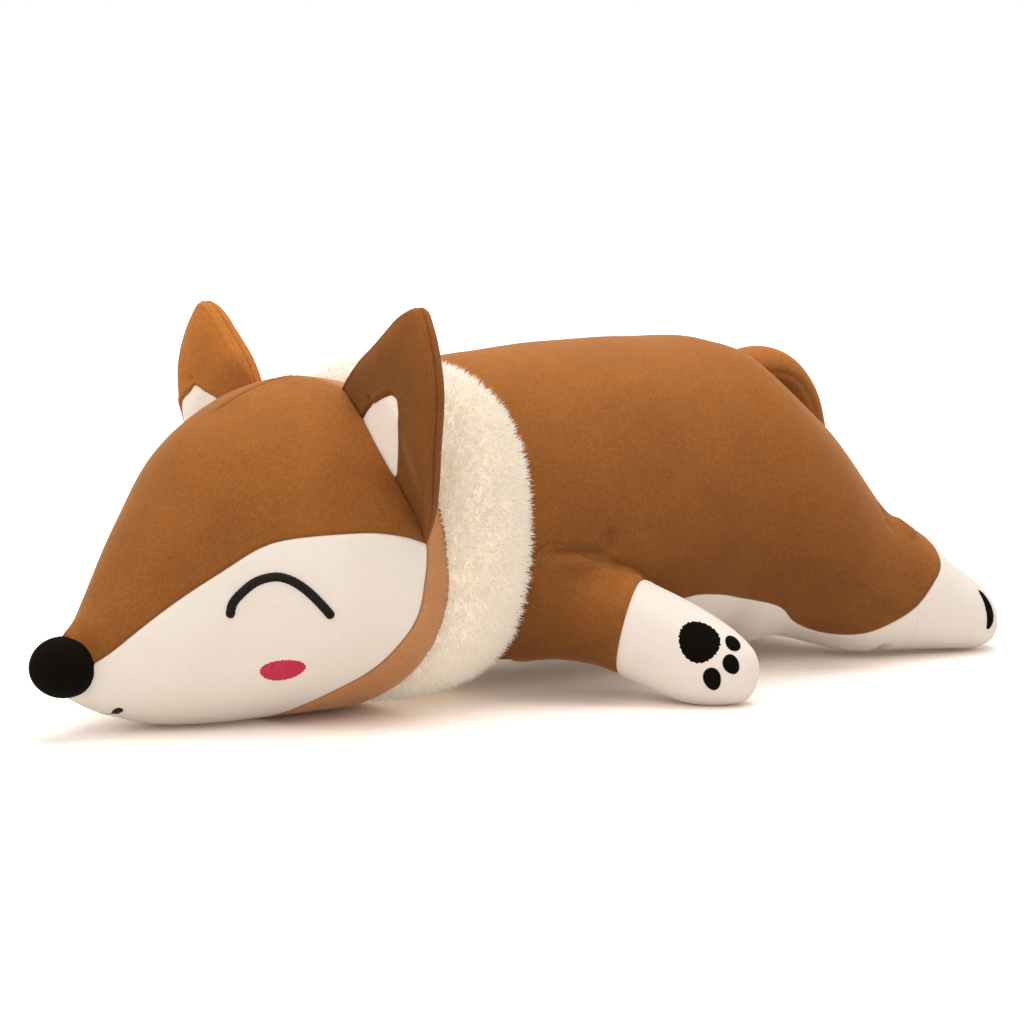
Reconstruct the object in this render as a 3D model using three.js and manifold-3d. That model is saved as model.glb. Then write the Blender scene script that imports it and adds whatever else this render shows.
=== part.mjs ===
// Plush fox lying flat on its belly: a stuffed toy sewn from brown and cream
// plush panels over fibre filling, with embroidered eyes, cheeks and pads and
// a fur collar round the neck seam. Millimetres, Z up, nose towards -X, and
// the fox's left side towards -Y. The panels are fabric shells, and each one
// lies round a separate piece of filling.

import * as THREE from 'three';
import { mergeVertices } from 'three/addons/utils/BufferGeometryUtils.js';
import Module from 'manifold-3d';

const wasm = await Module();
wasm.setup();

// Cloth, seams and clearances
const fabricThickness = 3;
const seamGap = 0.6;
const touchGap = 0.4;
const fillingGap = 0.5;
const floorCut = 0.5;
const embroideryThickness = 1.4;
const overrun = 40;
const smallestDetail = 0.01;

// Head
const headLength = 168;
const headHalfWidth = 79;
const headHeight = 151;
const headWidestShare = 0.42;

// Nose, mouth, eyes and blush, set back from the front of the head
const noseRadius = 14.8;
const noseLengthShare = 1.04;
const noseForward = 6.5;
const noseRiseShare = 0.215;
const mouthSetBack = 15.5;
const mouthHalfWidth = 8;
const mouthDip = 3;
const mouthLine = 2.6;
const eyeSetBack = 67;
const eyeRiseShare = 0.351;
const eyeHalfWidth = 19.5;
const eyeHeight = 18;
const eyeLine = 4.2;
const blushSetBack = 70;
const blushRiseShare = 0.2;
const blushHalfLength = 9.8;
const blushHalfHeight = 5.4;

// Ears
const earSetBack = 116;
const earSpan = 100;
const earThickness = 16;
const earPlaceShares = [0.443, 0.9735];
const patchInset = 0.5;

// Body, collar and tail
const neckSeam = 1;
const bodyLength = 269;
const bodyHalfWidth = 82;
const bodyHeight = 161.5;
const bodyWidestShare = 0.45;
const collarOverlap = 3;
const collarOuterRadius = 80.5;
const collarPile = 32;
const collarHalfBand = 24;
const collarChinReach = 26;
const tailLength = 110;
const tailHalfWidth = 23;
const tailHalfDepth = 15;
const tailTipLength = 27;
const tailPlaceShares = [0.762, 0.842];

// Arms and hind legs, given for one side and mirrored
const armLength = 101;
const armTurn = THREE.MathUtils.degToRad(52);
const armHalfWidth = 23.5;
const armHeight = 71;
const armPlaceShares = [0.19, 0.585];
const cuffTop = 49;
const cuffBottom = 35;
const legLength = 141.5;
const legTurn = THREE.MathUtils.degToRad(23.3);
const legHalfWidth = 49;
const legHeight = 139;
const legPlaceShares = [0.695, 0.341];
const limbWidestShare = 0.45;
const footLength = 56;

// Pads, as half lengths and half heights
const palmHalfLength = 8.8;
const palmHalfHeight = 9.3;
const toeHalfLength = 4.2;
const toeHalfHeight = 4.6;

// How far each joint turns, in degrees
const neckLift = 12;
const earFold = 15;
const armLift = 35;
const tailLift = 35;

// Places, worked out from the sizes above. The nose is the front of the toy.
const headStart = noseRadius * noseLengthShare + noseForward;
const noseCentreX = headStart - noseForward;
const noseCentreZ = noseRiseShare * headHeight;
const mouthX = headStart + mouthSetBack;
const eyeX = headStart + eyeSetBack;
const eyeZ = eyeRiseShare * headHeight;
const blushX = headStart + blushSetBack;
const blushZ = blushRiseShare * headHeight;
const earBaseX = headStart + earSetBack;
const earBaseY = earPlaceShares[0] * headHalfWidth;
const earBaseZ = earPlaceShares[1] * headHeight;
const bodyStart = headStart + headLength + neckSeam;
const collarCentreX = bodyStart - collarOverlap;
const collarCentreZ = collarOuterRadius - floorCut;
const tailRootX = bodyStart + tailPlaceShares[0] * bodyLength;
const tailRootZ = tailPlaceShares[1] * bodyHeight;
const armRootX = bodyStart + armPlaceShares[0] * bodyLength;
const armRootY = armPlaceShares[1] * bodyHalfWidth;
const legRootX = bodyStart + legPlaceShares[0] * bodyLength;
const legRootY = legPlaceShares[1] * bodyHalfWidth;

// Joint lines, as shares of the form that each one lies in
const neckPlaceShares = [0.004, 0.792];
const shoulderPlaceShares = [0.242, 0.915, 0.93];
const tailHingePlaceShares = [0.792, 0.916];
const earHingeShares = [[0, 0, 0], [0.14, 0.45, -0.64]];
const neckX = bodyStart + neckPlaceShares[0] * bodyLength;
const neckZ = neckPlaceShares[1] * bodyHeight;
const shoulderX = bodyStart + shoulderPlaceShares[0] * bodyLength;
const shoulderY = shoulderPlaceShares[1] * bodyHalfWidth;
const shoulderZ = shoulderPlaceShares[2] * armHeight;
const tailHingeX = bodyStart + tailHingePlaceShares[0] * bodyLength;
const tailHingeZ = tailHingePlaceShares[1] * bodyHeight;

// Number of rings and sides of the swelling forms; filling has half the sides
const forms = {
  head: { rings: 16, sides: 20 },
  body: { rings: 14, sides: 20 },
  leg: { rings: 10, sides: 12 },
  arm: { rings: 9, sides: 12 },
  tail: { rings: 9, sides: 10 },
  ear: { rows: 7, columns: 5 },
  collar: { turns: 26, sides: 8 },
};
const clearingSteps = 3;
const pathStepShare = 0.01;

// Each row of a swelling form: how far along, half width, top and bottom
const headShares = [
  [0, 0, 0.219, 0.219], [0.012, 0.114, 0.285, 0.159], [0.048, 0.203, 0.338, 0.113],
  [0.107, 0.304, 0.444, 0.066], [0.214, 0.494, 0.649, 0.023], [0.345, 0.709, 0.828, 0],
  [0.5, 0.886, 0.94, 0], [0.655, 0.987, 0.993, 0], [0.774, 1, 0.993, 0.004],
  [0.869, 0.911, 0.96, 0.046], [0.946, 0.734, 0.887, 0.119], [0.988, 0.405, 0.728, 0.278],
  [1, 0, 0.503, 0.503],
];
const bodyShares = [
  [0, 0, 0.495, 0.495], [0.007, 0.463, 0.731, 0.272], [0.033, 0.707, 0.879, 0.149],
  [0.1, 0.854, 0.96, 0.062], [0.212, 0.927, 0.985, 0.043], [0.372, 0.976, 1, 0.043],
  [0.539, 1, 1, 0.062], [0.695, 0.963, 0.972, 0.08], [0.818, 0.854, 0.892, 0.074],
  [0.903, 0.683, 0.774, 0.087], [0.959, 0.463, 0.625, 0.149], [0.989, 0.244, 0.495, 0.248],
  [1, 0, 0.384, 0.384],
];
const legShares = [
  [-0.12, 0, 0.612, 0.612], [-0.1, 0.408, 0.849, 0.288], [0, 0.816, 1, 0.101],
  [0.15, 1, 0.95, 0.072], [0.3, 1, 0.82, 0.036], [0.42, 0.898, 0.676, 0],
  [0.55, 0.755, 0.525, 0], [0.68, 0.633, 0.41, 0], [0.8, 0.531, 0.331, 0],
  [0.9, 0.408, 0.259, 0], [0.97, 0.245, 0.187, 0.036], [1, 0, 0.108, 0.108],
];
const armShares = [
  [-0.25, 0, 0.634, 0.634], [-0.22, 0.596, 0.873, 0.394], [-0.1, 0.894, 0.972, 0.254],
  [0.1, 1, 1, 0.239], [0.3, 1, 0.944, 0.197], [0.5, 0.935, 0.803, 0.106],
  [0.7, 0.87, 0.69, 0.007], [0.85, 0.739, 0.585, 0], [0.95, 0.5, 0.465, 0.004],
  [0.99, 0.26, 0.366, 0.085], [1, 0, 0.211, 0.211],
];

// The tail's rows: along, up, and how much of the half width and depth
const tailShares = [
  [0, 0, 0.3], [0.136, 0.04, 0.73], [0.282, 0.015, 0.93], [0.4, -0.095, 1],
  [0.464, -0.26, 1], [0.545, -0.46, 0.93], [0.645, -0.66, 0.73], [0.736, -0.84, 0],
];

// The ear's two edges from its base to its tip, as shares of the ear's span
const earInnerShares = [
  [-0.01, -0.05, -0.1], [0.015, 0.07, 0.105], [0.03, 0.17, 0.2],
  [0.038, 0.29, 0.29], [0.045, 0.41, 0.35], [0.065, 0.52, 0.37],
];
const earOuterShares = [
  [0.16, 0.36, -0.7], [0.07, 0.64, -0.44], [0.03, 0.705, -0.22],
  [0.032, 0.705, 0], [0.05, 0.65, 0.21], [0.065, 0.52, 0.37],
];
const earPatchShares = [
  [0.02, -0.34], [0.15, -0.13], [0.25, -0.05], [0.4, 0.01], [0.455, -0.02],
  [0.47, -0.1], [0.44, -0.38], [0.3, -0.55],
];

// Edges of the head panels, along and up: where cream meets brown, and where
// the front panels meet the panel at the back of the head
const cheekEdgeShares = [
  [-0.1, 0.06], [0.016, 0.245], [0.095, 0.318], [0.173, 0.395], [0.265, 0.475],
  [0.361, 0.55], [0.449, 0.577], [0.595, 0.585], [0.685, 0.574], [0.774, 0.545],
];
const headSeamShares = [
  [0.744, 1.2], [0.738, 0.97], [0.703, 0.88], [0.708, 0.78], [0.744, 0.64],
  [0.782, 0.54], [0.774, 0.44], [0.752, 0.33], [0.714, 0.25], [0.655, 0.16],
  [0.53, 0.05], [0.46, -0.1],
];

// Edge of the cream belly, along the body and up
const bellyEdgeShares = [
  [-0.1, 0.11], [0.24, 0.11], [0.31, 0.15], [0.39, 0.23], [0.45, 0.266], [0.52, 0.257],
  [0.58, 0.235], [0.66, 0.202], [0.72, 0.142], [0.78, 0.099], [0.825, 0.091],
  [0.866, 0.111], [0.926, 0.167], [0.978, 0.235], [1.03, 0.31], [1.05, 0.4], [1.055, 1.2],
];

// Pads as shares of the limb: along and up on the paws, across and up on the feet
const palmPlaceShares = [0.76, 0.446];
const toePlaceShares = [[0.9, 0.437], [0.893, 0.3], [0.817, 0.205]];
const footPalmPlaceShares = [0.12, 0.148];
const footToePlaceShares = [[-0.16, 0.2], [-0.235, 0.13], [-0.17, 0.062]];

const colours = {
  brown: 0xa5622f,
  lightBrown: 0xb97d4c,
  cream: 0xefe0d0,
  fur: 0xf0dfc6,
  black: 0x17120d,
  blush: 0xc43347,
  filling: 0xf4f2ee,
};

function finish(colour, roughness = 0.9) {
  return new THREE.MeshStandardMaterial({ color: colour, roughness, metalness: 0 });
}

const finishes = Object.fromEntries(
  Object.entries(colours).map(([name, colour]) => [name, finish(colour)]),
);

// Solids and booleans

function toSolid(geometry) {
  const bare = geometry.clone();
  bare.deleteAttribute('normal');
  bare.deleteAttribute('uv');
  const merged = mergeVertices(bare);
  return new wasm.Manifold(new wasm.Mesh({
    numProp: 3,
    vertProperties: new Float32Array(merged.attributes.position.array),
    triVerts: new Uint32Array(merged.index.array),
  }));
}

function toGeometry(solid) {
  const mesh = solid.getMesh();
  const geometry = new THREE.BufferGeometry();
  geometry.setAttribute('position', new THREE.BufferAttribute(new Float32Array(mesh.vertProperties), 3));
  geometry.setIndex(new THREE.BufferAttribute(new Uint32Array(mesh.triVerts), 1));
  geometry.computeVertexNormals();
  return geometry;
}

function largestBody(solid) {
  return solid.decompose().reduce((a, b) => (a.volume() > b.volume() ? a : b));
}

// Joins faces that are nearly in one plane and closes up slivers
function withoutSlivers(solid) {
  return solid.asOriginal().simplify(smallestDetail);
}

// A smooth curve through rows of numbers, which bends through its end rows as
// if the row before an end were a mirror image of the row after it
function rowsAlong(rows, t, mirrored) {
  const last = rows.length - 1;
  const mirror = (end, next) => end.map((value, k) => (mirrored[k] ? -next[k] : 2 * value - next[k]));
  const row = (i) => {
    if (i < 0) return mirror(rows[0], rows[1]);
    if (i > last) return mirror(rows[last], rows[last - 1]);
    return rows[i];
  };
  const span = Math.min(Math.floor(t * last), last - 1);
  const f = t * last - span;
  const [a, b, c, d] = [row(span - 1), row(span), row(span + 1), row(span + 2)];
  return b.map((value, k) => 0.5 * (2 * value + (c[k] - a[k]) * f
    + (2 * a[k] - 5 * value + 4 * c[k] - d[k]) * f * f
    + (3 * value - a[k] - 3 * c[k] + d[k]) * f * f * f));
}

// Joins closed rings of points into one solid, with a point at each end
function closedForm(rings, startPoint, endPoint) {
  const sides = rings[0].length;
  const points = [startPoint, ...rings.flat(), endPoint];
  const at = (ring, side) => 1 + ring * sides + (side % sides);
  const end = points.length - 1;
  const faces = [];
  for (let side = 0; side < sides; side += 1) {
    faces.push(0, at(0, side + 1), at(0, side));
    faces.push(end, at(rings.length - 1, side), at(rings.length - 1, side + 1));
    for (let ring = 0; ring < rings.length - 1; ring += 1) {
      const [a, b] = [at(ring, side), at(ring, side + 1)];
      const [c, d] = [at(ring + 1, side + 1), at(ring + 1, side)];
      faces.push(a, b, c, a, c, d);
    }
  }
  return solidFromFaces(points, faces);
}

function solidFromFaces(points, faces) {
  const geometry = new THREE.BufferGeometry().setFromPoints(points);
  geometry.setIndex(faces);
  const solid = toSolid(geometry);
  if (solid.volume() > 0) return solid;
  geometry.setIndex(faces.toReversed());
  return toSolid(geometry);
}

// A swelling form: rounded upright sections carried along a level heading.
// growth moves the whole surface out, or in when it is negative.
function swellingForm(shape, growth = 0) {
  const { rows, length, halfWidth, height, rings, sides, widest, startX, startY, turn } = shape;
  const first = rows[0][0];
  const last = rows[rows.length - 1][0];
  const middle = 0.5 * (first + last) * length;
  const stretch = 1 + (2 * growth) / ((last - first) * length);
  const place = (along, across, up) => new THREE.Vector3(
    startX + along * Math.cos(turn) - across * Math.sin(turn),
    startY + along * Math.sin(turn) + across * Math.cos(turn),
    up - floorCut,
  );
  const section = (t) => {
    const [along, wide, top, bottom] = rowsAlong(rows, t, [false, true, false, false]);
    return {
      along: middle + (along * length - middle) * stretch,
      wide: Math.max(wide * halfWidth + growth, 0),
      top: top * height + growth,
      bottom: bottom * height - growth,
    };
  };
  const bands = [];
  for (let ring = 1; ring < rings; ring += 1) {
    const { along, wide, top, bottom } = section(ring / rings);
    const waist = bottom + widest * (top - bottom);
    const band = [];
    for (let side = 0; side < sides; side += 1) {
      const angle = (2 * Math.PI * side) / sides;
      const rise = Math.sin(angle) * (Math.sin(angle) > 0 ? top - waist : waist - bottom);
      band.push(place(along, wide * Math.cos(angle), waist + rise));
    }
    bands.push(band);
  }
  const ends = [section(0), section(1)].map(
    ({ along, top, bottom }) => place(along, 0, bottom + widest * (top - bottom)),
  );
  return closedForm(bands, ends[0], ends[1]);
}

// An upright wall whose outline is drawn in a level or upright plane and
// which reaches from one distance to another along that plane's normal
function wall(outline, from, to, plane) {
  const shape = new THREE.Shape(outline.map(([a, b]) => new THREE.Vector2(a, b)));
  const geometry = new THREE.ExtrudeGeometry(shape, {
    depth: to - from, steps: 1, bevelEnabled: false, curveSegments: 1,
  });
  geometry.translate(0, 0, from);
  geometry.applyMatrix4(plane);
  const solid = toSolid(geometry);
  if (solid.volume() > 0) return solid;
  return toSolid(flipped(geometry));
}

function flipped(geometry) {
  const bare = geometry.index ? geometry.toNonIndexed() : geometry.clone();
  const { array } = bare.attributes.position;
  for (let i = 0; i < array.length; i += 9) {
    for (let k = 0; k < 3; k += 1) {
      [array[i + k], array[i + 3 + k]] = [array[i + 3 + k], array[i + k]];
    }
  }
  return bare;
}

// Planes for walls: side view (X, Z seen along Y), front view (Y, Z seen along
// X), top view (X, Y seen along Z), and one turned with a limb
function basis(right, up, out, origin = new THREE.Vector3()) {
  return new THREE.Matrix4().makeBasis(right, up, out).setPosition(origin);
}

const xAxis = new THREE.Vector3(1, 0, 0);
const yAxis = new THREE.Vector3(0, 1, 0);
const zAxis = new THREE.Vector3(0, 0, 1);
const sideView = basis(xAxis, zAxis, yAxis);
const frontView = basis(yAxis, zAxis, xAxis);
const topView = basis(xAxis, yAxis, zAxis);

function box(minimum, maximum) {
  const size = new THREE.Vector3().subVectors(maximum, minimum);
  const centre = new THREE.Vector3().addVectors(minimum, maximum).multiplyScalar(0.5);
  const geometry = new THREE.BoxGeometry(size.x, size.y, size.z);
  geometry.translate(centre.x, centre.y, centre.z);
  return toSolid(geometry);
}

function moved(solid, matrix) {
  return solid.transform(matrix.toArray());
}

// Turns a solid by some degrees about a line through a point
function turned(solid, point, axis, degrees) {
  const matrix = new THREE.Matrix4().makeTranslation(point.x, point.y, point.z)
    .multiply(new THREE.Matrix4().makeRotationAxis(axis, THREE.MathUtils.degToRad(degrees)))
    .multiply(new THREE.Matrix4().makeTranslation(-point.x, -point.y, -point.z));
  return moved(solid, matrix);
}

// Takes from a piece what its neighbour would touch while the piece turns
function clearedWhileTurning(piece, neighbour, joint, from, to) {
  let cleared = piece;
  for (let step = 0; step <= clearingSteps; step += 1) {
    const angle = from + ((to - from) * step) / clearingSteps;
    cleared = cleared.subtract(turned(neighbour, joint.point, joint.axis, -angle));
  }
  return cleared;
}

function ellipse(centreA, centreB, halfA, halfB, count = 12) {
  return Array.from({ length: count }, (_, i) => {
    const angle = (2 * Math.PI * i) / count;
    return [centreA + halfA * Math.cos(angle), centreB + halfB * Math.sin(angle)];
  });
}

// Everything that lies below the floor, to cut the resting faces flat
const floorBlock = box(
  new THREE.Vector3(-overrun, -3 * bodyHalfWidth, -bodyHeight),
  new THREE.Vector3(bodyStart + 2 * bodyLength, 3 * bodyHalfWidth, 0),
);

function aboveFloor(solid) {
  return solid.subtract(floorBlock);
}

// The whole toy's swelling forms

const headShape = {
  rows: headShares, length: headLength, halfWidth: headHalfWidth, height: headHeight,
  widest: headWidestShare, startX: headStart, startY: 0, turn: 0, ...forms.head,
};
const bodyShape = {
  rows: bodyShares, length: bodyLength, halfWidth: bodyHalfWidth, height: bodyHeight,
  widest: bodyWidestShare, startX: bodyStart, startY: 0, turn: 0, ...forms.body,
};

function legShape(side) {
  return {
    rows: legShares, length: legLength, halfWidth: legHalfWidth, height: legHeight,
    widest: limbWidestShare, startX: legRootX, startY: side * legRootY, turn: side * legTurn,
    ...forms.leg,
  };
}

function armShape(side) {
  return {
    rows: armShares, length: armLength, halfWidth: armHalfWidth, height: armHeight,
    widest: limbWidestShare, startX: armRootX, startY: side * armRootY, turn: side * armTurn,
    ...forms.arm,
  };
}

function trunk(growth, prepare = (shape) => shape) {
  return swellingForm(prepare(bodyShape), growth)
    .add(swellingForm(prepare(legShape(-1)), growth))
    .add(swellingForm(prepare(legShape(1)), growth));
}

function coarse(shape) {
  return { ...shape, sides: shape.sides / 2 };
}

const head = swellingForm(headShape);
const headClearance = swellingForm(headShape, touchGap);
const trunkClearance = trunk(touchGap);

const neck = { point: new THREE.Vector3(neckX, 0, neckZ), axis: yAxis };

// Head panels and filling

function headEdge(shares) {
  return shares.map(([along, up]) => [headStart + along * headLength, up * headHeight]);
}

function shifted(outline, byA, byB) {
  return outline.map(([a, b]) => [a + byA, b + byB]);
}

function makeHead() {
  const shell = aboveFloor(head).subtract(swellingForm(headShape, -fabricThickness));
  const reach = headHalfWidth + overrun;
  const seam = headEdge(headSeamShares);
  const front = headStart - overrun;
  const [high, low] = [seam[0][1], seam[seam.length - 1][1]];
  const inFront = wall([[front, low], ...shifted(seam, -seamGap / 2, 0).toReversed(), [front, high]],
    -reach, reach, sideView);
  const rear = headStart + headLength + overrun;
  const behind = wall([[rear, low], ...shifted(seam, seamGap / 2, 0).toReversed(), [rear, high]],
    -reach, reach, sideView);
  const edge = headEdge(cheekEdgeShares);
  const edgeEnd = edge[edge.length - 1];
  const depth = -headHeight;
  const creamArea = (from, to) => wall(
    [[edge[0][0], depth], [rear, depth], [rear, edgeEnd[1] - seamGap / 2],
      ...shifted(edge, 0, -seamGap / 2).toReversed()],
    from, to, sideView,
  );
  const brownArea = wall(
    [[edge[0][0], 2 * headHeight], ...shifted(edge, 0, seamGap / 2),
      [rear, edgeEnd[1] + seamGap / 2], [rear, 2 * headHeight]],
    -reach, reach, sideView,
  );
  const frontShell = shell.intersect(inFront);
  return {
    crown_panel: frontShell.intersect(brownArea),
    cheek_panel_left: frontShell.intersect(creamArea(-reach, -seamGap / 2)),
    cheek_panel_right: frontShell.intersect(creamArea(seamGap / 2, reach)),
    head_back_panel: shell.intersect(behind),
    head_filling: swellingForm(coarse(headShape), -fabricThickness - fillingGap),
  };
}

// Nose, mouth and the embroidery on the cheeks

function makeNose() {
  const geometry = new THREE.SphereGeometry(noseRadius, 12, 9);
  geometry.scale(noseLengthShare, 1, 1);
  geometry.translate(noseCentreX, 0, noseCentreZ - floorCut);
  return toSolid(geometry).subtract(headClearance);
}

function threadLayer(shape) {
  return swellingForm(shape, touchGap + embroideryThickness)
    .subtract(swellingForm(shape, touchGap));
}

// A band of thread along an arch in the side view
function archBand(centreA, centreB, halfWidth, rise, line, count = 12) {
  const arch = (offset) => Array.from({ length: count + 1 }, (_, i) => {
    const angle = Math.PI * (1 - i / count);
    return [
      centreA + (halfWidth + offset) * Math.cos(angle),
      centreB + (rise + offset) * Math.sin(angle),
    ];
  });
  return [...arch(line / 2), ...arch(-line / 2).toReversed()];
}

function makeFace() {
  const layer = threadLayer(headShape);
  const outline = archBand(eyeX, eyeZ, eyeHalfWidth, eyeHeight, eyeLine);
  const spot = ellipse(blushX, blushZ, blushHalfLength, blushHalfHeight, 14);
  const reach = headHalfWidth + overrun;
  const pieces = {};
  for (const [name, from, to] of [['left', -reach, -noseRadius], ['right', noseRadius, reach]]) {
    pieces[`eye_stitch_${name}`] = layer.intersect(wall(outline, from, to, sideView));
    pieces[`blush_${name}`] = layer.intersect(wall(spot, from, to, sideView));
  }
  pieces.mouth_stitch = layer.intersect(wall(mouthOutline(), -noseRadius, noseCentreZ - noseRadius, topView));
  return pieces;
}

// The mouth is a shallow line under the snout, drawn back at its two ends
function mouthOutline() {
  const line = (offset) => Array.from({ length: 9 }, (_, i) => {
    const share = -1 + i / 4;
    return [mouthX + mouthDip * share * share + offset, mouthHalfWidth * share];
  });
  return [...line(-mouthLine / 2), ...line(mouthLine / 2).toReversed()];
}

// Ears: two edges from the base to the tip, puffed out front and back

function earPoint(side, [a, b, c]) {
  return new THREE.Vector3(
    earBaseX + a * earSpan, side * (earBaseY + b * earSpan), earBaseZ + c * earSpan - floorCut,
  );
}

function earForm(side) {
  const { rows, columns } = forms.ear;
  const corner = (shares) => earPoint(side, shares);
  const smooth = [false, false, false];
  const rings = [];
  for (let row = 0; row < rows; row += 1) {
    const t = row / rows;
    const inner = corner(rowsAlong(earInnerShares, t, smooth));
    const outer = corner(rowsAlong(earOuterShares, t, smooth));
    const ring = [];
    for (let step = 0; step < 2 * columns; step += 1) {
      const angle = (Math.PI * step) / columns;
      const across = 0.5 - 0.5 * Math.cos(angle);
      const puff = (earThickness / 2) * Math.sqrt(1 - t ** 3) * Math.sin(angle);
      ring.push(inner.clone().lerp(outer, across).add(new THREE.Vector3(-puff, 0, 0)));
    }
    rings.push(ring);
  }
  const tip = corner(rowsAlong(earInnerShares, 1, smooth));
  const base = corner(earInnerShares[0]).lerp(corner(earOuterShares[0]), 0.5);
  return closedForm(rings, base, tip);
}

function earJoint(side) {
  const [inner, outer] = earHingeShares.map((shares) => earPoint(side, shares));
  return {
    point: inner.clone().lerp(outer, 0.5),
    axis: outer.clone().sub(inner).normalize(),
  };
}

function makeEar(side, name) {
  const ear = clearedWhileTurning(earForm(side), headClearance, earJoint(side), -earFold, earFold);
  const back = new THREE.Matrix4().makeTranslation(fabricThickness, 0, 0);
  const frontLayer = ear.subtract(moved(earForm(side), back));
  const outline = earPatchShares.map(([a, b]) => [
    side * (earBaseY + a * earSpan), earBaseZ + b * earSpan - floorCut,
  ]);
  const patchWall = wall(outline, earBaseX - overrun, earBaseX + earThickness, frontView);
  const patch = largestBody(frontLayer.intersect(patchWall));
  return {
    [`inner_ear_${name}`]: patch,
    [`ear_${name}`]: largestBody(ear.subtract(grownPatch(ear, side, outline))),
  };
}

// The brown ear has a pocket for the cream patch, a little larger all round
function grownPatch(ear, side, outline) {
  const pocketWall = wall(
    widened(outline, patchInset), earBaseX - overrun, earBaseX + earThickness, frontView,
  );
  const back = new THREE.Matrix4().makeTranslation(fabricThickness + touchGap, 0, 0);
  return ear.subtract(moved(earForm(side), back)).intersect(pocketWall);
}

// Moves each corner of a closed outline outward, square to its two edges
function widened(outline, gap) {
  const points = outline.map(([a, b]) => new THREE.Vector2(a, b));
  const outward = Math.sign(THREE.ShapeUtils.area(points));
  return points.map((point, i) => {
    const before = points[(i + points.length - 1) % points.length];
    const after = points[(i + 1) % points.length];
    const edges = [point.clone().sub(before), after.clone().sub(point)].map((edge) => edge.normalize());
    const corner = new THREE.Vector2(edges[0].y + edges[1].y, -edges[0].x - edges[1].x).normalize();
    const lean = corner.dot(new THREE.Vector2(edges[0].y, -edges[0].x));
    return [point.x + (outward * gap * corner.x) / lean, point.y + (outward * gap * corner.y) / lean];
  });
}

// Fur collar: a band of pile round the neck seam, longer under the chin

function makeCollar() {
  const { turns, sides } = forms.collar;
  const middle = collarOuterRadius - collarPile / 2;
  const points = [];
  const faces = [];
  for (let turn = 0; turn < turns; turn += 1) {
    const angle = (2 * Math.PI * turn) / turns;
    const chin = collarChinReach * (0.5 - 0.5 * Math.sin(angle)) ** 4;
    for (let side = 0; side < sides; side += 1) {
      const around = (2 * Math.PI * side) / sides;
      const radius = middle + (collarPile / 2) * Math.sin(around);
      const half = collarHalfBand + (Math.cos(around) < 0 ? chin : 0);
      points.push(new THREE.Vector3(
        collarCentreX + half * Math.cos(around),
        radius * Math.cos(angle),
        collarCentreZ + radius * Math.sin(angle),
      ));
      const [next, after] = [(turn + 1) % turns, (side + 1) % sides];
      const [a, b] = [turn * sides + side, turn * sides + after];
      const [c, d] = [next * sides + after, next * sides + side];
      faces.push(a, b, c, a, c, d);
    }
  }
  const ring = aboveFloor(solidFromFaces(points, faces)).subtract(trunkClearance);
  return largestBody(clearedWhileTurning(ring, headClearance, neck, 0, -neckLift));
}

// Body panels and filling

function bellyEdge(offset) {
  return bellyEdgeShares.map(([along, up]) => [
    bodyStart + along * bodyLength + (along > 1 ? -offset : 0), up * bodyHeight + offset,
  ]);
}

function makeTrunk() {
  const shell = aboveFloor(trunk(0)).subtract(trunk(-fabricThickness));
  const reach = legRootY + legLength;
  const far = bodyStart + 2 * bodyLength;
  const front = bodyStart - overrun;
  const brown = bellyEdge(seamGap / 2);
  const cream = bellyEdge(-seamGap / 2);
  const brownArea = wall([...brown, [front, 2 * bodyHeight]], -reach, reach, sideView);
  const creamArea = wall(
    [[front, -bodyHeight], [far, -bodyHeight], [far, 2 * bodyHeight], ...cream.toReversed()],
    -reach, reach, sideView,
  );
  const creamShell = shell.intersect(creamArea);
  const pieces = { back_panel: largestBody(shell.intersect(brownArea)) };
  let belly = creamShell;
  for (const [name, side] of [['left', -1], ['right', 1]]) {
    pieces[`hind_foot_${name}`] = largestBody(creamShell.intersect(footBlock(side, seamGap / 2)));
    belly = belly.subtract(footBlock(side, -seamGap / 2));
  }
  pieces.belly_panel = largestBody(belly);
  pieces.body_filling = trunk(-fabricThickness - fillingGap, coarse);
  return pieces;
}

// A block that takes in the last part of a hind leg, square to the leg
function footBlock(side, inset) {
  const ahead = new THREE.Vector3(Math.cos(legTurn), side * Math.sin(legTurn), 0);
  const across = new THREE.Vector3(-side * Math.sin(legTurn), Math.cos(legTurn), 0);
  const root = new THREE.Vector3(legRootX, side * legRootY, 0);
  const cuff = legLength - footLength + inset;
  const outline = [
    [cuff, -legHeight], [legLength + overrun, -legHeight],
    [legLength + overrun, legHeight], [cuff, legHeight],
  ];
  return wall(outline, -legHalfWidth, legHalfWidth, basis(ahead, zAxis, across, root));
}

// Arms: a brown sleeve and a cream paw over one filling, cut to the body

function shoulder(side) {
  return {
    point: new THREE.Vector3(shoulderX, side * shoulderY, shoulderZ),
    axis: new THREE.Vector3(side, 0, 0),
  };
}

function armPlane(side) {
  const ahead = new THREE.Vector3(Math.cos(armTurn), side * Math.sin(armTurn), 0);
  const across = new THREE.Vector3(-Math.sin(armTurn), side * Math.cos(armTurn), 0);
  return basis(ahead, zAxis, across, new THREE.Vector3(armRootX, side * armRootY, -floorCut));
}

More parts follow.
